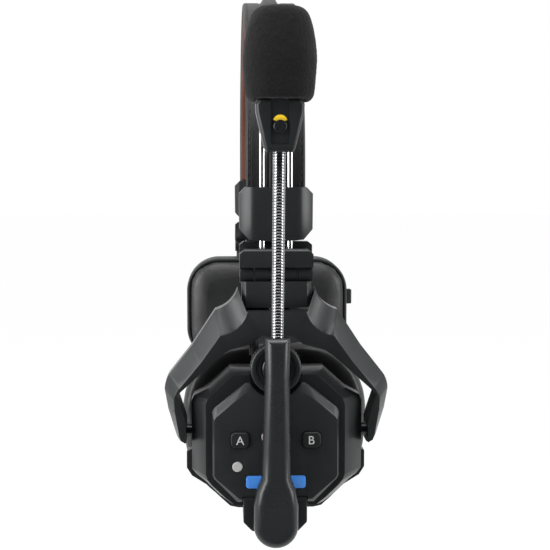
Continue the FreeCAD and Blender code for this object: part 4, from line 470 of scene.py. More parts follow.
def make_drawn_metal():
    """Fine drawing lines along Z and faint stains on plated metal."""
    tree, scale, out, where = new_grain("Drawn metal", 900.0)
    stretch = add(tree, "Mapping", Vector=where, Scale=(1.0, 1.0, 0.03))
    lines = noise_of(tree, stretch.outputs[0], scale, 3.0, 0.6)
    stains = noise_of(tree, where, 190.0, 4.0, 0.6)
    put(tree, out, Height=lines, Mask=remap(tree, stains, 0.35, 0.7))
    return tree


def make_speaker_weave():
    """Plain weave of the speaker's cloth, its low places darkened by painted shade."""
    tree, scale, out, where = new_grain("Speaker weave", 1500.0)
    parts = add(tree, "SeparateXYZ", Vector=where)
    pitch = times(tree, scale, math.pi)
    waves = [maths(tree, "SINE", times(tree, parts.outputs[axis], pitch), 0.0) for axis in "XZ"]
    height = remap(tree, times(tree, *waves), -1.0, 1.0)
    # painted shade: the colour follows the height, so the weave's low places are darker
    put(tree, out, Height=height, Mask=height)
    return tree


def make_handling():
    """Slow smudges and fine scatter that vary the gloss between two roughnesses."""
    tree, given, out, where = new_group("Handling", {"Low": 0.4, "High": 0.55}, ("Roughness",))
    smudge = noise_of(tree, where, 85.0, 5.0, 0.62)
    scatter = noise_of(tree, where, 900.0, 2.0)
    both = sum_of(tree, (smudge, 0.8), (scatter, 0.2))
    put(tree, out, Roughness=remap(tree, both, 0.32, 0.68, given["Low"], given["High"]))
    return tree


GROUP_MAKERS = {
    "moulded": make_moulded_grain, "leather": make_leather_grain, "foam": make_foam_pores,
    "metal": make_drawn_metal, "weave": make_speaker_weave, "handling": make_handling,
}


@functools.cache
def group_named(name):
    """The group, made at its first use."""
    return GROUP_MAKERS[name]()


def use_group(tree, name, **inputs):
    holder = tree.nodes.new("ShaderNodeGroup")
    holder.node_tree = group_named(name)
    put(tree, holder, **inputs)
    return holder


def finish(label, colour, share, grain, scale, depth, low, high, tint, strength, specular,
           metallic=0.0, sheen=0.0):
    """A material: a grain group for colour and bump, the handling group for gloss."""
    material = bpy.data.materials.new(label)
    material.use_nodes = True
    tree = material.node_tree
    shader = tree.nodes["Principled BSDF"]
    pattern = use_group(tree, grain, Scale=scale)
    gloss = use_group(tree, "handling", Low=low, High=high)
    mix = add(tree, "Mix")
    mix.data_type = "RGBA"
    chosen = getattr(colours(), colour) if isinstance(colour, str) else colour
    dark, light = ((*(min(value * share * tone, 1) for value in chosen), 1)
                   for tone in (1 - tint, 1 + tint))
    put(tree, mix, A=dark, B=light, Factor=pattern.outputs["Mask"])
    bump = add(tree, "Bump", Strength=strength, Distance=depth, Height=pattern.outputs["Height"])
    put(tree, shader, Base_Color=mix.outputs["Result"], Roughness=gloss.outputs["Roughness"],
        Normal=bump.outputs["Normal"], Specular_IOR_Level=specular, Metallic=metallic,
        Sheen_Weight=sheen)
    return material


# Label, colour (a chosen one by name, or its values) and the share of it that is used; grain,
# its scale and the bump's depth in metres; lowest and highest roughness; tint between patches,
# which for leather, foam and cloth also darkens the grain's hollows as painted shade; bump
# strength, specular level; metallic and sheen where there is any
FINISH_ROWS = {
    "moulding": ("Moulding satin", "plastic", 1.0, "moulded", 2600, 2e-5, 0.30, 0.38, 0.14, 0.35, 0.36),
    "yoke": ("Yoke satin", "plastic", 1.0, "moulded", 2200, 2e-5, 0.30, 0.38, 0.14, 0.3, 0.38),
    "shell": ("Cup satin", "plastic", 0.75, "moulded", 2600, 2e-5, 0.30, 0.38, 0.14, 0.35, 0.34),
    "plate": ("Plate fine grain", "plastic", 1.15, "moulded", 3000, 2e-5, 0.34, 0.42, 0.12, 0.4, 0.34),
    "boom": ("Boom satin", "plastic", 1.05, "moulded", 3200, 1.5e-5, 0.24, 0.32, 0.1, 0.25, 0.38),
    "gloss": ("Gloss plastic", "plastic", 0.75, "moulded", 1800, 1e-5, 0.14, 0.24, 0.1, 0.2, 0.5),
    "rubber": ("Button rubber", "plastic", 0.75, "moulded", 3600, 1.5e-5, 0.5, 0.62, 0.1, 0.35, 0.4),
    "box": ("Box grain", "plastic", 1.0, "moulded", 1900, 3e-5, 0.42, 0.54, 0.14, 0.5, 0.42),
    "skin": ("Band skin", "skin", 1.0, "leather", 950, 6e-5, 0.44, 0.58, 0.25, 0.55, 0.4),
    "cushion": ("Cushion skin", "skin", 1.0, "leather", 1250, 4e-5, 0.36, 0.48, 0.2, 0.4, 0.4),
    "lining": ("Lining leather", "lining", 1.0, "leather", 1000, 6e-5, 0.46, 0.6, 0.3, 0.6, 0.22),
    "foam": ("Windscreen foam", "foam", 1.0, "foam", 1500, 2.2e-4, 0.85, 0.95, 0.5, 0.8, 0.15, 0.0, 0.06),
    "chrome": ("Bright chrome", (0.78, 0.78, 0.79), 1.0, "metal", 900, 4e-6, 0.06, 0.12, 0.05, 0.2,
               0.5, 1.0),
    "steel": ("Plated steel", "steel", 1.0, "metal", 1200, 8e-6, 0.24, 0.36, 0.15, 0.4, 0.5, 1.0),
    "neck": ("Neck steel", (0.34, 0.34, 0.35), 1.0, "metal", 1200, 6e-6, 0.16, 0.26, 0.25, 0.3, 0.5, 1.0),
    "dark_steel": ("Blackened steel", (0.075, 0.076, 0.08), 1.0, "metal", 1200, 8e-6, 0.28, 0.4, 0.2,
                   0.4, 0.5, 1.0),
    "lens": ("Pale lens", (0.34, 0.34, 0.33), 1.0, "moulded", 1500, 1e-5, 0.2, 0.3, 0.06, 0.15, 0.5),
    "bar": ("Bar lens", (0.30, 0.26, 0.27), 1.0, "moulded", 1500, 1e-5, 0.2, 0.3, 0.06, 0.15, 0.5),
    "badge": ("Badge blue", "badge", 1.0, "moulded", 2400, 1e-5, 0.26, 0.36, 0.08, 0.2, 0.5),
    "marker": ("Marker yellow", "marker", 1.0, "moulded", 2400, 1e-5, 0.34, 0.44, 0.08, 0.2, 0.4),
    "print": ("Letter print", "print_white", 1.0, "moulded", 2600, 8e-6, 0.5, 0.6, 0.06, 0.2, 0.3),
    "cloth": ("Speaker cloth", (0.012, 0.012, 0.013), 1.0, "weave", 1500, 1e-4, 0.8, 0.9, 0.5, 0.9,
              0.2, 0.0, 0.1),
    "driver": ("Driver grey", (0.03, 0.03, 0.032), 1.0, "moulded", 2000, 2e-5, 0.4, 0.5, 0.2, 0.4, 0.5),
    "board": ("Board lacquer", (0.01, 0.07, 0.03), 1.0, "moulded", 1500, 1e-5, 0.2, 0.3, 0.2, 0.3, 0.5),
    "battery": ("Battery wrap", (0.02, 0.035, 0.10), 1.0, "moulded", 900, 3e-5, 0.25, 0.35, 0.2, 0.4, 0.5),
    "cable": ("Cable rubber", (0.010, 0.010, 0.011), 1.0, "moulded", 2600, 1.5e-5, 0.45, 0.6, 0.15,
              0.3, 0.5),
}


@functools.cache
def finish_named(name):
    """The finish's material, made at its first use."""
    return finish(*FINISH_ROWS[name])


def matt(name, tone, roughness, specular=0.5):
    """An even grey paper or felt of the studio."""
    material = bpy.data.materials.new(name)
    material.use_nodes = True
    put(material.node_tree, material.node_tree.nodes["Principled BSDF"], Roughness=roughness,
        Base_Color=(tone, tone, tone, 1), Specular_IOR_Level=specular)
    return material


def looked_at(tree):
    """1 for rays of the camera, of mirror images or through glass, else 0."""
    path = add(tree, "LightPath").outputs
    rays = maths(tree, "ADD", path["Is Camera Ray"], path["Is Transmission Ray"])
    return maths(tree, "ADD", rays, path["Is Glossy Ray"], clamp=True)


def show_pale(tree, share, lit, pale, output):
    """Mixes a lit surface with the pale one that the camera is shown."""
    mix = add(tree, "MixShader")
    for socket, source in zip(mix.inputs, (share, lit.outputs[0], pale.outputs[0])):
        tree.links.new(source, socket)
    tree.links.new(mix.outputs[0], tree.nodes[output].inputs["Surface"])


class HEADSET_OT_stage(bpy.types.Operator):
    """Makes the camera, the pale floor and the soft studio light"""

    bl_idname = "headset.stage"
    bl_label = "Stage and light"

    # Focal length in picture widths, the eye in millimetres, and its angles in degrees
    FOCAL = 1356 / 550
    EYE = (-17.95, -535.0, -53.5)
    DOWN, ASIDE = 4.718, -2.217
    # Low enough for the microphone of a boom that is swung right down
    FLOOR = -0.325
    UPRIGHT = math.radians(90)
    CUP = (0, -0.05, -0.09)

    def execute(self, context):
        scene = context.scene
        scene.view_settings.view_transform = "Standard"
        lens = bpy.data.cameras.new("headset_camera")
        lens.sensor_width = 36.0
        lens.lens = self.FOCAL * lens.sensor_width
        lens.clip_start, lens.clip_end = 0.01, 20
        camera = bpy.data.objects.new("headset_camera", lens)
        camera.location = Vector(self.EYE) * MM
        camera.rotation_euler = (math.radians(90 - self.DOWN), 0, math.radians(self.ASIDE))
        scene.collection.objects.link(camera)
        scene.camera = camera
        self.plane("studio_floor", (0, 0.6, self.FLOOR), (0, 0, 0), (12, 12), self.paper())
        self.light("left_box", (-0.80, -0.42, 0.05), self.CUP, (0.45, 1.0), 11.0)
        self.light("right_box", (0.85, -0.36, 0.05), self.CUP, (0.35, 0.9), 7.5)
        self.light("top_box", (0.0, -0.30, 0.85), (0, 0, -0.05), (0.8, 0.5), 9.0)
        facing, sideways = (self.UPRIGHT, 0, 0), (self.UPRIGHT, 0, self.UPRIGHT)
        self.card("dark_card_front", (0.25, -0.72, 0.30), facing, (2.1, 1.1), 0.02)
        self.card("dark_card_floor", (0.10, -0.42, -0.203), (0, 0, 0), (1.2, 0.60), 0.02)
        self.card("grey_card_right", (1.25, -0.25, 0.30), sideways, (1.0, 1.1), 0.22)
        self.sky(scene)
        return {"FINISHED"}

    def plane(self, name, place, turn, spread, material):
        deselect()
        bpy.ops.mesh.primitive_plane_add(size=1, location=place, rotation=turn)
        made = bpy.context.object
        made.name = name
        made.scale = (*spread, 1)
        bpy.ops.object.transform_apply(location=True, rotation=True, scale=True)
        made.data.materials.append(material)
        return made

    def card(self, name, place, turn, spread, tone):
        """A card that only reflections see, so that the faces turned to it stay dark."""
        made = self.plane(name, place, turn, spread, matt(name, tone, 0.95, 0.1))
        made.visible_camera = made.visible_diffuse = made.visible_shadow = False

    def light(self, name, place, aim, spread, power):
        lamp = bpy.data.lights.new(name, "AREA")
        lamp.shape = "RECTANGLE"
        lamp.size, lamp.size_y = spread
        lamp.energy = power
        holder = bpy.data.objects.new(name, lamp)
        holder.location = place
        towards = Vector(aim) - Vector(place)
        holder.rotation_euler = towards.to_track_quat("-Z", "Y").to_euler()
        bpy.context.scene.collection.objects.link(holder)

    def paper(self):
        """Takes the light as paper does, and looks nearly white itself."""
        material = matt("Studio paper", 0.93, 0.9)
        tree = material.node_tree
        glow = add(tree, "Emission", Strength=1.05)
        share = times(tree, looked_at(tree), 0.9)
        show_pale(tree, share, tree.nodes["Principled BSDF"], glow, "Material Output")
        return material

    def sky(self, scene):
        """Lights a little more from the left, and looks white itself."""
        world = bpy.data.worlds.new("Studio air")
        scene.world = world
        world.use_nodes = True
        tree = world.node_tree
        towards = add(tree, "SeparateXYZ", Vector=add(tree, "TexCoord").outputs["Generated"])
        lit = tree.nodes["Background"]
        put(tree, lit, Color=(1, 1, 1, 1),
            Strength=remap(tree, towards.outputs["X"], -0.6, 0.6, 0.5, 0.3))
        white = add(tree, "Background", Color=(1, 1, 1, 1), Strength=1.0)
        show_pale(tree, looked_at(tree), lit, white, "World Output")


class HEADSET_OT_mouldings(bpy.types.Operator):
    """Rounds the edges of the black mouldings and gives each its plastic"""

    bl_idname = "headset.mouldings"
    bl_label = "Mouldings"

    def execute(self, context):
        edge, small = sizes().edge, sizes().small_edge
        rows = [
            (edge, "moulding", 2, "slider_clamp_near slider_clamp_far hinge_block_near "
                                  "hinge_block_far hinge_knuckle_near hinge_knuckle_far"),
            (small * 2, "moulding", 2, "temple_bracket"),
            (edge, "yoke", 3, "yoke"),
            (edge, "shell", 3, "cup_shell"),
            (small, "shell", 2, "cup_back"),
            (edge, "shell", 2, "boom_mount"),
            (small * 1.6, "plate", 3, "control_plate"),
            (small * 0.8, "rubber", 2, "button_a button_b"),
            (small, "badge", 2, "badge_plate"),
            (small * 0.6, "bar", 2, "light_bar"),
            (small * 1.4, "box", 2, "temple_box temple_rim battery_door power_switch"),
            (small, "boom", 2, "boom_arm", 34),
            (small * 1.5, "moulding", 3, "mic_housing"),
            (small * 0.6, "gloss", 2, "mic_switch"),
        ]
        for width, finish, segments, parts, *angle in rows:
            for part in parts.split():
                soften(part, width, finish, segments, *angle)
        return {"FINISHED"}


class HEADSET_OT_fittings(bpy.types.Operator):
    """Finishes the rods, pins, bolts, lenses and hidden pieces that keep their CAD shape"""

    bl_idname = "headset.fittings"
    bl_label = "Rods and fittings"

    def execute(self, context):
        plain = {
            "chrome": "size_rods_near size_rods_far",
            "steel": "hinge_pin_near hinge_pin_far swivel_bolt_near swivel_bolt_far boom_pivot "
                     "knob_encoder mic_capsule headband_spring",
            "dark_steel": "swivel_washer_near swivel_washer_far tilt_pins boom_washer",
            "lens": "light_lens",
            "marker": "mic_marker",
            "board": "main_board power_board",
            "battery": "battery",
            "driver": "speaker_baffle speaker_driver",
            "cloth": "speaker_mesh",
            "cable": "band_cable lead_boot",
        }
        for finish, parts in plain.items():
            for part in parts.split():
                paint(part, finish)
        return {"FINISHED"}


class HEADSET_OT_band(bpy.types.Operator):
    """Makes the headband's outer skin with its raised cable duct, seams and stitches"""

    bl_idname = "headset.band"
    bl_label = "Headband skin"

    # Where the skin begins below the crown, and its section, in millimetres
    FOOT = -72.0
    HALF_WIDTH = 10.0
    SKIN, ROUNDING = 1.8, 0.9
    DUCT = 1.75
    SEAM = 8.7
    STEPS = 60

    def execute(self, context):
        level = -(ARCH_SPAN + 0.3)
        points = []
        for step in range(self.STEPS + 1):
            across = -self.HALF_WIDTH + 2 * self.HALF_WIDTH * step / self.STEPS
            reach = abs(across)
            short = max(self.ROUNDING - (self.HALF_WIDTH - reach), 0)
            rounded = math.sqrt(max(self.ROUNDING ** 2 - short ** 2, 0))
            skin = self.SKIN - self.ROUNDING + rounded
            duct = self.DUCT * (1 - smooth_step(1.9, 3.25, reach))
            groove = 0.28 * bell(reach, 3.7, 0.35)
            seam = 0.22 * bell(reach, self.SEAM, 0.22)
            points.append((across, level - skin - duct + groove + seam, self.FOOT))
        points += [(across, level, self.FOOT) for across in (9.6, 5.0, 0.0, -5.0, -9.6)]
        piece = over_the_arch(points, self.FOOT)
        settle(piece, "band_skin", "headband", "skin", ["headband_cover"])
        self.stitches()
        return {"FINISHED"}

    def stitches(self):
        """One thread stitch is modelled, then copied along both edges of the band."""
        deselect()
        bpy.ops.mesh.primitive_uv_sphere_add(segments=8, ring_count=6, radius=0.5 * MM)
        first = bpy.context.object
        bpy.ops.transform.resize(value=(0.36, 0.36, 1.9))
        bpy.ops.object.transform_apply(location=False, rotation=False, scale=True)
        whole = bmesh.new()
        for across in (-self.SEAM, self.SEAM):
            for place, turn in arch_places(2.0, 2.4, -60.0):
                stitch = first.data.copy()
                stitch.transform(Matrix.Translation(Vector((across, *place)) * MM)
                                 @ Matrix.Rotation(turn, 4, "X"))
                whole.from_mesh(stitch)
                bpy.data.meshes.remove(stitch)
        whole.to_mesh(first.data)
        whole.free()
        settle(first, "band_stitches", "headband", "cable")


def arch_places(out, pitch, foot):
    """Places (y, z) and turns about X, in millimetres and radians, evenly along the arch."""
    side_radius, crown_radius = SIDE_RADIUS + out, CROWN_RADIUS + out
    legs = SIDE_CENTRE_Z - foot
    side = side_radius * math.radians(45)
    total = 2 * legs + 2 * side + crown_radius * math.radians(90)
    found = []
    for step in range(int(total / pitch)):
        run = (step + 0.5) * pitch
        mirrored = run > total / 2
        run = min(run, total - run)
        if run < legs:
            y, z, angle = -(ARCH_SPAN + out), foot + run, 0.0
        elif run < legs + side:
            angle = (run - legs) / side_radius
            y = -SIDE_SHIFT - side_radius * math.cos(angle)
            z = SIDE_CENTRE_Z + side_radius * math.sin(angle)
        else:
            angle = math.radians(45) + (run - legs - side) / crown_radius
            y = -crown_radius * math.cos(angle)
            z = CROWN_CENTRE_Z + crown_radius * math.sin(angle)
        if mirrored:
            y, angle = -y, -angle
        found.append(((y, z), -angle))
    return found


class HEADSET_OT_lining(bpy.types.Operator):
    """Makes the padded leather lining inside the headband, with its edge seam"""

    bl_idname = "headset.lining"
    bl_label = "Leather lining"

    FOOT = -61.1
    HALF_WIDTH = 9.6
    THICKNESS = 5.55
    STEPS = 44

    def execute(self, context):
        back = -(ARCH_SPAN - 0.36)
        points = []
        for step in range(self.STEPS + 1):
            turn = math.pi * step / self.STEPS
            across = self.HALF_WIDTH * math.copysign(abs(math.cos(turn)) ** 0.42, math.cos(turn))
            depth = self.THICKNESS * abs(math.sin(turn)) ** 0.55
            seam = 0.3 * bell(abs(across), 8.1, 0.3) * smooth_step(3.0, 4.2, depth)
            points.append((across, back + depth - seam, self.FOOT))
        points += [(across, back, self.FOOT) for across in (-6.0, 0.0, 6.0)]
        piece = over_the_arch(points, self.FOOT)
        self.swell(piece)
        settle(piece, "leather_lining", "headband", "lining", ["headband_pad"])
        return {"FINISHED"}

    def swell(self, piece):
        """Soft unevenness of stuffed leather, held back at the edges."""
        for vertex in piece.data.vertices:
            y, z = vertex.co.y / MM, vertex.co.z / MM
            inward = Vector((0, -y, -z - 40)).normalized()
            middle = 1 - smooth_step(6.0, self.HALF_WIDTH, abs(vertex.co.x) / MM)
            wave = noise.noise(Vector((vertex.co.x * 90, vertex.co.y * 70, vertex.co.z * 70)))
            vertex.co += inward * wave * middle * 0.18 * MM


# Cushions are remeshed and filled with air before they are sewn
CUSHION_VOXEL = 1.5 * MM
GROW = 6.0
FRAMES = 16


def swell_with_air(piece, pressure, cap, pinned):
    """Fills a cushion as cloth, at GROW times its size, its seam held in place."""
    piece.data.transform(Matrix.Scale(GROW, 4))
    rest = [vertex.co.copy() for vertex in piece.data.vertices]
    held = piece.vertex_groups.new(name="held")
    held.add([v.index for v in piece.data.vertices if pinned(v.co / GROW / MM)], 1.0, "REPLACE")
    pick(piece)
    cloth = piece.modifiers.new("Cloth", "CLOTH")
    settings = cloth.settings
    settings.quality = 5
    settings.use_pressure = True
    settings.uniform_pressure_force = pressure
    settings.vertex_group_mass = "held"
    settings.effector_weights.gravity = 0
    cloth.point_cache.frame_start = 1
    cloth.point_cache.frame_end = FRAMES
    for number in range(1, FRAMES + 1):
        bpy.context.scene.frame_set(number)
    bpy.ops.object.modifier_apply(modifier="Cloth")
    bpy.context.scene.frame_set(1)
    limit = cap * MM * GROW
    for vertex, start in zip(piece.data.vertices, rest):
        move = vertex.co - start
        if move.length > limit:
            vertex.co = start + move * (limit / move.length)
    piece.data.transform(Matrix.Scale(1 / GROW, 4))
    piece.vertex_groups.clear()


def stuffed(source, name, middle, shares, pressure, cap, pinned):
    """A copy of a cushion's solid, fitted about its back's middle and filled with air."""
    piece = copy_of(source, name)
    scale_about(piece, middle, shares)
    modify(piece, "REMESH", mode="VOXEL", voxel_size=CUSHION_VOXEL)
    swell_with_air(piece, pressure, cap, pinned)
    return piece


class HEADSET_OT_ear_cushion(bpy.types.Operator):
    """Makes the ring cushion: stuffed, drawn in at its seam and gathered at the corners"""

    bl_idname = "headset.ear_cushion"
    bl_label = "Ear cushion"

    # Its middle's height, its back's place along Y and the seam's distance before that
    HEIGHT = -145.5
    BACK = -71.2
    SEAM = 9.6
    GATHERS = 64

    def execute(self, context):
        middle = Vector((0, self.BACK, self.HEIGHT)) * MM
        piece = stuffed("ear_cushion", "ear_ring", middle, (0.985, 0.94, 0.985),
                        sizes().stuffing, 1.1, lambda place: place.y < self.BACK + 1.6)
        modify(piece, "SMOOTH", factor=0.5, iterations=4)
        self.fill_out(piece)
        modify(piece, "SUBSURF", levels=2)
        self.seams(piece)
        keep_depth(piece, *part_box("ear_cushion"))
        settle(piece, "ear_ring_cushion", "ear_cup", "cushion", ["ear_cushion"])
        return {"FINISHED"}

    def seams(self, piece):
        """A sewn seam round the outside and the inside, with small gathers beside it."""
        for vertex, normal in with_normals(piece):
            depth = vertex.co.y / MM - self.BACK
            across = vertex.co.x / MM
            up = vertex.co.z / MM - self.HEIGHT
            side = smooth_step(0.35, 0.9, math.hypot(normal.x, normal.z))
            seam = bell(depth, self.SEAM, 0.45) * side
            angle = math.atan2(up, across)
            corner = abs(math.sin(2 * angle)) ** 3
            pucker = math.sin(angle * self.GATHERS) * math.exp(-abs(depth - self.SEAM) / 1.8) * side
            lumps = noise.noise(Vector((across, up, depth)) * 0.16)
            move = -0.55 * seam + (0.03 + 0.10 * corner) * pucker + 0.16 * lumps
            vertex.co += normal * move * MM

    def fill_out(self, piece):
        """Fills the flanks a little and the upper corners more, where the ring is broadest."""
        for vertex in piece.data.vertices:
            across = vertex.co.x / MM
            up = vertex.co.z / MM - self.HEIGHT
            corner = abs(math.sin(2 * math.atan2(up, across))) ** 1.5 * smooth_step(0.0, 8.0, up)
            flank = smooth_step(-22.0, 4.0, up)
            vertex.co.x *= 1 + 0.04 * flank + 0.07 * corner
            vertex.co.z = (self.HEIGHT + up * (1 + 0.11 * corner)) * MM


class HEADSET_OT_temple_cushion(bpy.types.Operator):
    """Makes the temple rest's cushion, crowned and sewn round its edge"""

    bl_idname = "headset.temple_cushion"
    bl_label = "Temple cushion"

    # Half of its width and height and the radius of its corners
    OUTLINE = (33.7, 21.0, 12.8)
    SEAM = 1.2

    def execute(self, context):
        low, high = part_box("temple_pad")
        middle = (low + high) / 2
        middle.y = high.y
        edge = high.y / MM - self.SEAM
        piece = stuffed("temple_pad", "temple_rest", middle, (1.035, 0.93, 1.05),
                        sizes().stuffing * 0.8, 0.9, lambda place: place.y > edge)
        modify(piece, "SMOOTH", factor=0.6, iterations=14)
        modify(piece, "SUBSURF", levels=2)
        self.seams(piece, middle_of("temple_pad"))
        keep_depth(piece, low, high)
        settle(piece, "temple_rest_cushion", "temple", "cushion", ["temple_pad"])
        return {"FINISHED"}

    def seams(self, piece, middle):
        """Gathers along the edge and soft unevenness."""
        for vertex, normal in with_normals(piece):
            across = vertex.co.x / MM - middle.x
            up = vertex.co.z / MM - middle.z
            inset = rounded_distance(across, up, *self.OUTLINE)
            pucker = math.sin((across + up) * 2.6) * bell(inset, self.SEAM, 1.4)
            lumps = noise.noise(Vector((across, up, 3.0)) * 0.10)
            vertex.co += normal * (0.03 * pucker + 0.08 * lumps) * MM


def rounded_distance(across, up, half_width, half_height, radius):
    """How far a point lies inside a rounded rectangle."""
    dx, dz = abs(across) - (half_width - radius), abs(up) - (half_height - radius)
    return radius - math.hypot(max(dx, 0), max(dz, 0)) - min(max(dx, dz), 0)


class HEADSET_OT_windscreen(bpy.types.Operator):
    """Makes the foam windscreen over the microphone, with its open-cell surface"""

    bl_idname = "headset.windscreen"
    bl_label = "Foam windscreen"

    def execute(self, context):
        piece = copy_of("foam_windscreen", "foam_cover")
        modify(piece, "REMESH", mode="VOXEL", voxel_size=0.55 * MM)
        modify(piece, "SMOOTH", factor=0.5, iterations=3)
        for vertex, normal in with_normals(piece):
            place = vertex.co / MM
            lumps = noise.fractal(place * 0.25, 1.0, 2.0, 3)
            pores = noise.cell(place * 1.4)
            vertex.co += normal * (0.10 * lumps - 0.10 * max(pores, 0)) * MM
        settle(piece, "foam_cover", "boom", "foam", ["foam_windscreen"])
        return {"FINISHED"}


class HEADSET_OT_gooseneck(bpy.types.Operator):
    """Makes the ribbed steel tube: one rib is turned, then repeated along the tube"""

    bl_idname = "headset.gooseneck"
    bl_label = "Gooseneck"

    # Its ends and the ends of its ribbed run, and its middle, in millimetres
    TOP, RIB_TOP, RIB_FOOT, FOOT = -44.0, -47.5, -112.5, -121.0
    MIDDLE = (-0.9, -103.0, 0.0)
    PLAIN, RING, POLE = 1.8, 1.66, 0.02
    # One rib: share of the pitch and radius
    RIB = ((0.0, 1.89), (0.08, 1.97), (0.18, 2.03), (0.30, 2.05), (0.70, 2.05), (0.82, 2.03),
           (0.92, 1.97), (1.0, 1.89))

    def execute(self, context):
        run = self.RIB_TOP - self.RIB_FOOT
        count = round(run * MM / sizes().rib_pitch)
        pitch = run / count
        ribs = self.tube([(self.RIB_TOP - share * pitch, radius) for share, radius in self.RIB])
        modify(ribs, "ARRAY", count=count, use_relative_offset=False, use_constant_offset=True,
               constant_offset_displace=(0, 0, -pitch * MM), use_merge_vertices=True,
               merge_threshold=0.005 * MM)
        top = self.tube([(self.TOP, self.POLE), (self.TOP, self.PLAIN),
                         (self.RIB_TOP + 0.02, self.PLAIN), (self.RIB_TOP, self.RING)])
        foot = self.tube([(self.RIB_FOOT, self.RING), (self.RIB_FOOT - 0.02, self.PLAIN),
                          (self.FOOT, self.PLAIN), (self.FOOT, self.POLE)])
        join(ribs, top, foot)
        close_up(ribs)
        ribs.data.transform(LEAN)
        settle(ribs, "ribbed_tube", "boom", "neck", ["gooseneck"], angle=60)
        return {"FINISHED"}

    def tube(self, profile):
        return turned(profile, self.MIDDLE, (0, 0, 1), steps=28)


class HEADSET_OT_knob(bpy.types.Operator):
    """Makes the fluted volume knob and its polished cap"""

    bl_idname = "headset.knob"
    bl_label = "Volume knob"

    # Place along Y and radius of the knob's and the cap's turned outlines
    KNOB = [(-92.5, 2.03), (-92.5, 7.7), (-92.6, 8.0), (-93.0, 8.3), (-93.4, 8.4), (-95.0, 8.4),
            (-96.6, 8.4), (-97.5, 8.35), (-97.9, 8.15), (-98.15, 7.8), (-98.2, 7.4), (-98.2, 6.7),
            (-98.05, 6.45), (-97.65, 6.2), (-97.6, 6.0), (-97.6, 5.1), (-97.5, 4.9), (-97.2, 4.7),
            (-97.2, 2.03)]
    CAP = [(-97.2, 0.02), (-97.2, 4.5), (-97.6, 4.55), (-97.95, 4.4), (-98.15, 4.1), (-98.2, 3.7),
           (-98.1, 3.3), (-97.85, 2.9), (-97.7, 2.4), (-97.65, 0.02)]
    # Each flute is cut this deep between these depths
    CUT = 0.32
    FLUTED = (93.2, 97.7)

    def execute(self, context):
        centre = middle_of("volume_knob")
        centre.y = 0
        flutes = sizes().flutes
        knob = turned(self.KNOB, centre, (0, 1, 0), steps=flutes * 4)
        for vertex in knob.data.vertices:
            across, up = vertex.co.x / MM - centre.x, vertex.co.z / MM - centre.z
            radius = math.hypot(across, up)
            if radius > 8.0 and self.FLUTED[0] < -vertex.co.y / MM < self.FLUTED[1]:
                cut = self.CUT * max(0.0, math.cos(math.atan2(up, across) * flutes)) ** 1.5
                left = (radius - cut) / radius
                vertex.co.x = (across * left + centre.x) * MM
                vertex.co.z = (up * left + centre.z) * MM
        settle(knob, "fluted_knob", "knob", "moulding", ["volume_knob"], angle=40)
        cap = turned(self.CAP, centre, (0, 1, 0), steps=72)
        settle(cap, "polished_cap", "knob", "gloss", ["knob_cap"], angle=60)
        return {"FINISHED"}


class HEADSET_OT_lettering(bpy.types.Operator):
    """Prints the letters on the two push buttons"""

    bl_idname = "headset.lettering"
    bl_label = "Button letters"

    # Just proud of the buttons' faces, and the text size for a capital's height
    FACE = -97.81
    TEXT_SHARE = 1.38

    def execute(self, context):
        for letter in "ab":
            spot = middle_of(f"button_{letter}")
            spot.y = self.FACE
            deselect()
            bpy.ops.object.text_add()
            piece = context.object
            piece.data.body = letter.upper()
            piece.data.size = sizes().lettering * self.TEXT_SHARE
            piece.data.align_x = piece.data.align_y = "CENTER"
            piece.data.extrude = 0.03 * MM
            piece.data.resolution_u = 6
            bpy.ops.object.convert(target="MESH")
            piece = context.object
            centre = sum((Vector(corner) for corner in piece.bound_box), Vector()) / 8
            piece.data.transform(Matrix.Translation(spot * MM)
                                 @ Matrix.Rotation(math.pi / 2, 4, "X")
                                 @ Matrix.Translation(-centre))
            close_up(piece)
            settle(piece, f"letter_{letter}", f"push_{letter}", "print", angle=30)
        return {"FINISHED"}


class HEADSET_OT_lead(bpy.types.Operator):
    """Makes the short flexible lead that crosses from the fork to the cup"""

    bl_idname = "headset.lead"
    bl_label = "Signal lead"

    RADIUS = 0.8 * MM
    SAG = 0.5 * MM
    SHARES = (0.15, 0.3, 0.45, 0.6, 0.75, 0.9)

    def execute(self, context):
        low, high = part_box("signal_lead")
        x, y = (low.x + high.x) / 2, (low.y + high.y) / 2
        top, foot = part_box("lead_boot")[0].z, low.z
        deselect()
        bpy.ops.mesh.primitive_cylinder_add(vertices=20, radius=self.RADIUS,
                                            depth=top - foot + 0.6 * MM,
                                            location=(x, y, (top + foot) / 2 + 0.3 * MM))
        piece = context.object
        bpy.ops.object.transform_apply(location=True, rotation=False, scale=False)
        edit_all(piece)
        for level in (top, *(foot + (top - foot) * share for share in self.SHARES)):
            bpy.ops.mesh.select_all(action="SELECT")
            bpy.ops.mesh.bisect(plane_co=(x, y, level), plane_no=(0, 0, 1))
        leave_edit()
        for vertex in piece.data.vertices:
            share = (vertex.co.z - foot) / (top - foot)
            vertex.co.y -= self.SAG * math.sin(math.pi * min(max(share, 0), 1))
        dress(piece, "flexible_lead", "cable", angle=40)
        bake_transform(piece, "near_yoke", "ear_cup", start=(x, y, top), end=(x, y, foot + 1.5 * MM))
        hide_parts("signal_lead")
        return {"FINISHED"}


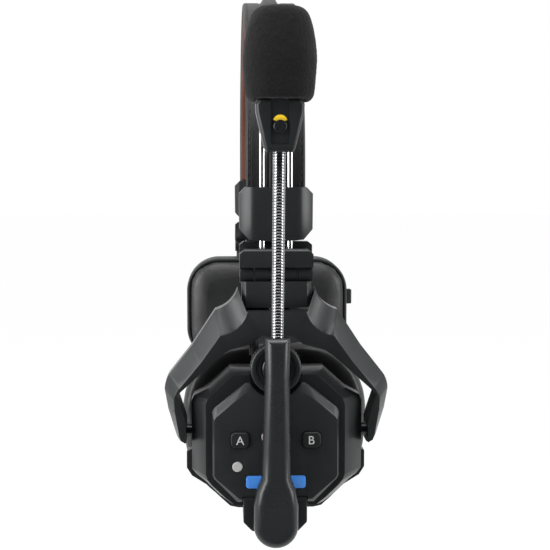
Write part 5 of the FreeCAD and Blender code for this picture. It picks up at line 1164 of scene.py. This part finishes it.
class HEADSET_OT_screws(bpy.types.Operator):
    """Makes the small socket screws in the clamps and the temple bracket"""

    bl_idname = "headset.screws"
    bl_label = "Screws"

    HEAD_RADIUS, HEAD_HEIGHT = 1.4 * MM, 1.0 * MM
    CHAMFER, RIM = 0.22 * MM, 0.42 * MM
    SOCKET_RADIUS, SOCKET_DEPTH = 0.78 * MM, 0.6 * MM

    def execute(self, context):
        rows = [
            ("clamp_screws_near", "headband", (7.4, -70.5, -76.0), 1),
            ("clamp_screws_far", "headband", (7.4, 70.5, -76.0), -1),
            ("bracket_screws", "temple", (9.0, 77.0, -115.0), 1),
        ]
        for source, body, (across, y, z), facing in rows:
            first, second = (self.screw((x, y, z), facing) for x in (-across, across))
            join(first, second)
            settle(first, f"{source}_heads", body, "dark_steel", [source], angle=35)
        return {"FINISHED"}

    def screw(self, spot, facing):
        """A round head with a hexagon socket, facing along Y."""
        deselect()
        bpy.ops.mesh.primitive_cylinder_add(vertices=36, radius=self.HEAD_RADIUS,
                                            depth=self.HEAD_HEIGHT)
        head = bpy.context.object
        edit_all(head)
        bpy.ops.mesh.select_mode(type="FACE")
        bpy.ops.mesh.select_all(action="DESELECT")
        mesh = bmesh.from_edit_mesh(head.data)
        for face in mesh.faces:
            face.select_set(face.normal.z > 0.9)
        bmesh.update_edit_mesh(head.data)
        bpy.ops.mesh.inset(thickness=self.CHAMFER)
        bpy.ops.transform.translate(value=(0, 0, 0.12 * MM))
        bpy.ops.mesh.inset(thickness=self.RIM)
        mesh = bmesh.from_edit_mesh(head.data)
        for vertex in mesh.verts:
            if vertex.select:
                angle = math.atan2(vertex.co.y, vertex.co.x)
                edge = math.cos(math.pi / 6) / math.cos((angle % (math.pi / 3)) - math.pi / 6)
                radius = self.SOCKET_RADIUS * edge
                vertex.co.x, vertex.co.y = radius * math.cos(angle), radius * math.sin(angle)
        bmesh.update_edit_mesh(head.data)
        bpy.ops.mesh.extrude_region_move(
            TRANSFORM_OT_translate={"value": (0, 0, -self.SOCKET_DEPTH)})
        leave_edit()
        turn = -facing * math.pi / 2
        shift = Vector(spot) * MM - Vector((0, 0.56 * facing * MM, 0))
        head.data.transform(Matrix.Translation(shift) @ Matrix.Rotation(turn, 4, "X"))
        return head


OPERATORS = (
    HEADSET_OT_stage, HEADSET_OT_mouldings, HEADSET_OT_fittings, HEADSET_OT_band,
    HEADSET_OT_lining, HEADSET_OT_ear_cushion, HEADSET_OT_temple_cushion,
    HEADSET_OT_windscreen, HEADSET_OT_gooseneck, HEADSET_OT_knob, HEADSET_OT_lettering,
    HEADSET_OT_lead, HEADSET_OT_screws,
)


class HEADSET_PT_panel(bpy.types.Panel):
    """Lists the sizes, the colours and the steps of the headset."""

    bl_idname = "HEADSET_PT_panel"
    bl_label = "Crew Headset"
    bl_space_type = "VIEW_3D"
    bl_region_type = "UI"
    bl_category = "Headset"

    def draw(self, context):
        layout = self.layout
        for holder, title in ((sizes(), "Sizes"), (colours(), "Colours")):
            box = layout.box()
            box.label(text=title)
            for name in holder.__annotations__:
                box.prop(holder, name)
        column = layout.column(align=True)
        for step in OPERATORS:
            column.operator(step.bl_idname)


CLASSES = (HeadsetSizes, HeadsetColours, *OPERATORS, HEADSET_PT_panel)


def register():
    for item in CLASSES:
        bpy.utils.register_class(item)
    bpy.types.Scene.headset_sizes = PointerProperty(type=HeadsetSizes)
    bpy.types.Scene.headset_colours = PointerProperty(type=HeadsetColours)


def unregister():
    del bpy.types.Scene.headset_colours
    del bpy.types.Scene.headset_sizes
    for item in reversed(CLASSES):
        bpy.utils.unregister_class(item)


def main():
    register()
    for step in OPERATORS:
        getattr(bpy.ops.headset, step.bl_idname.split(".")[1])()
    deselect()


if __name__ == "__main__":
    main()
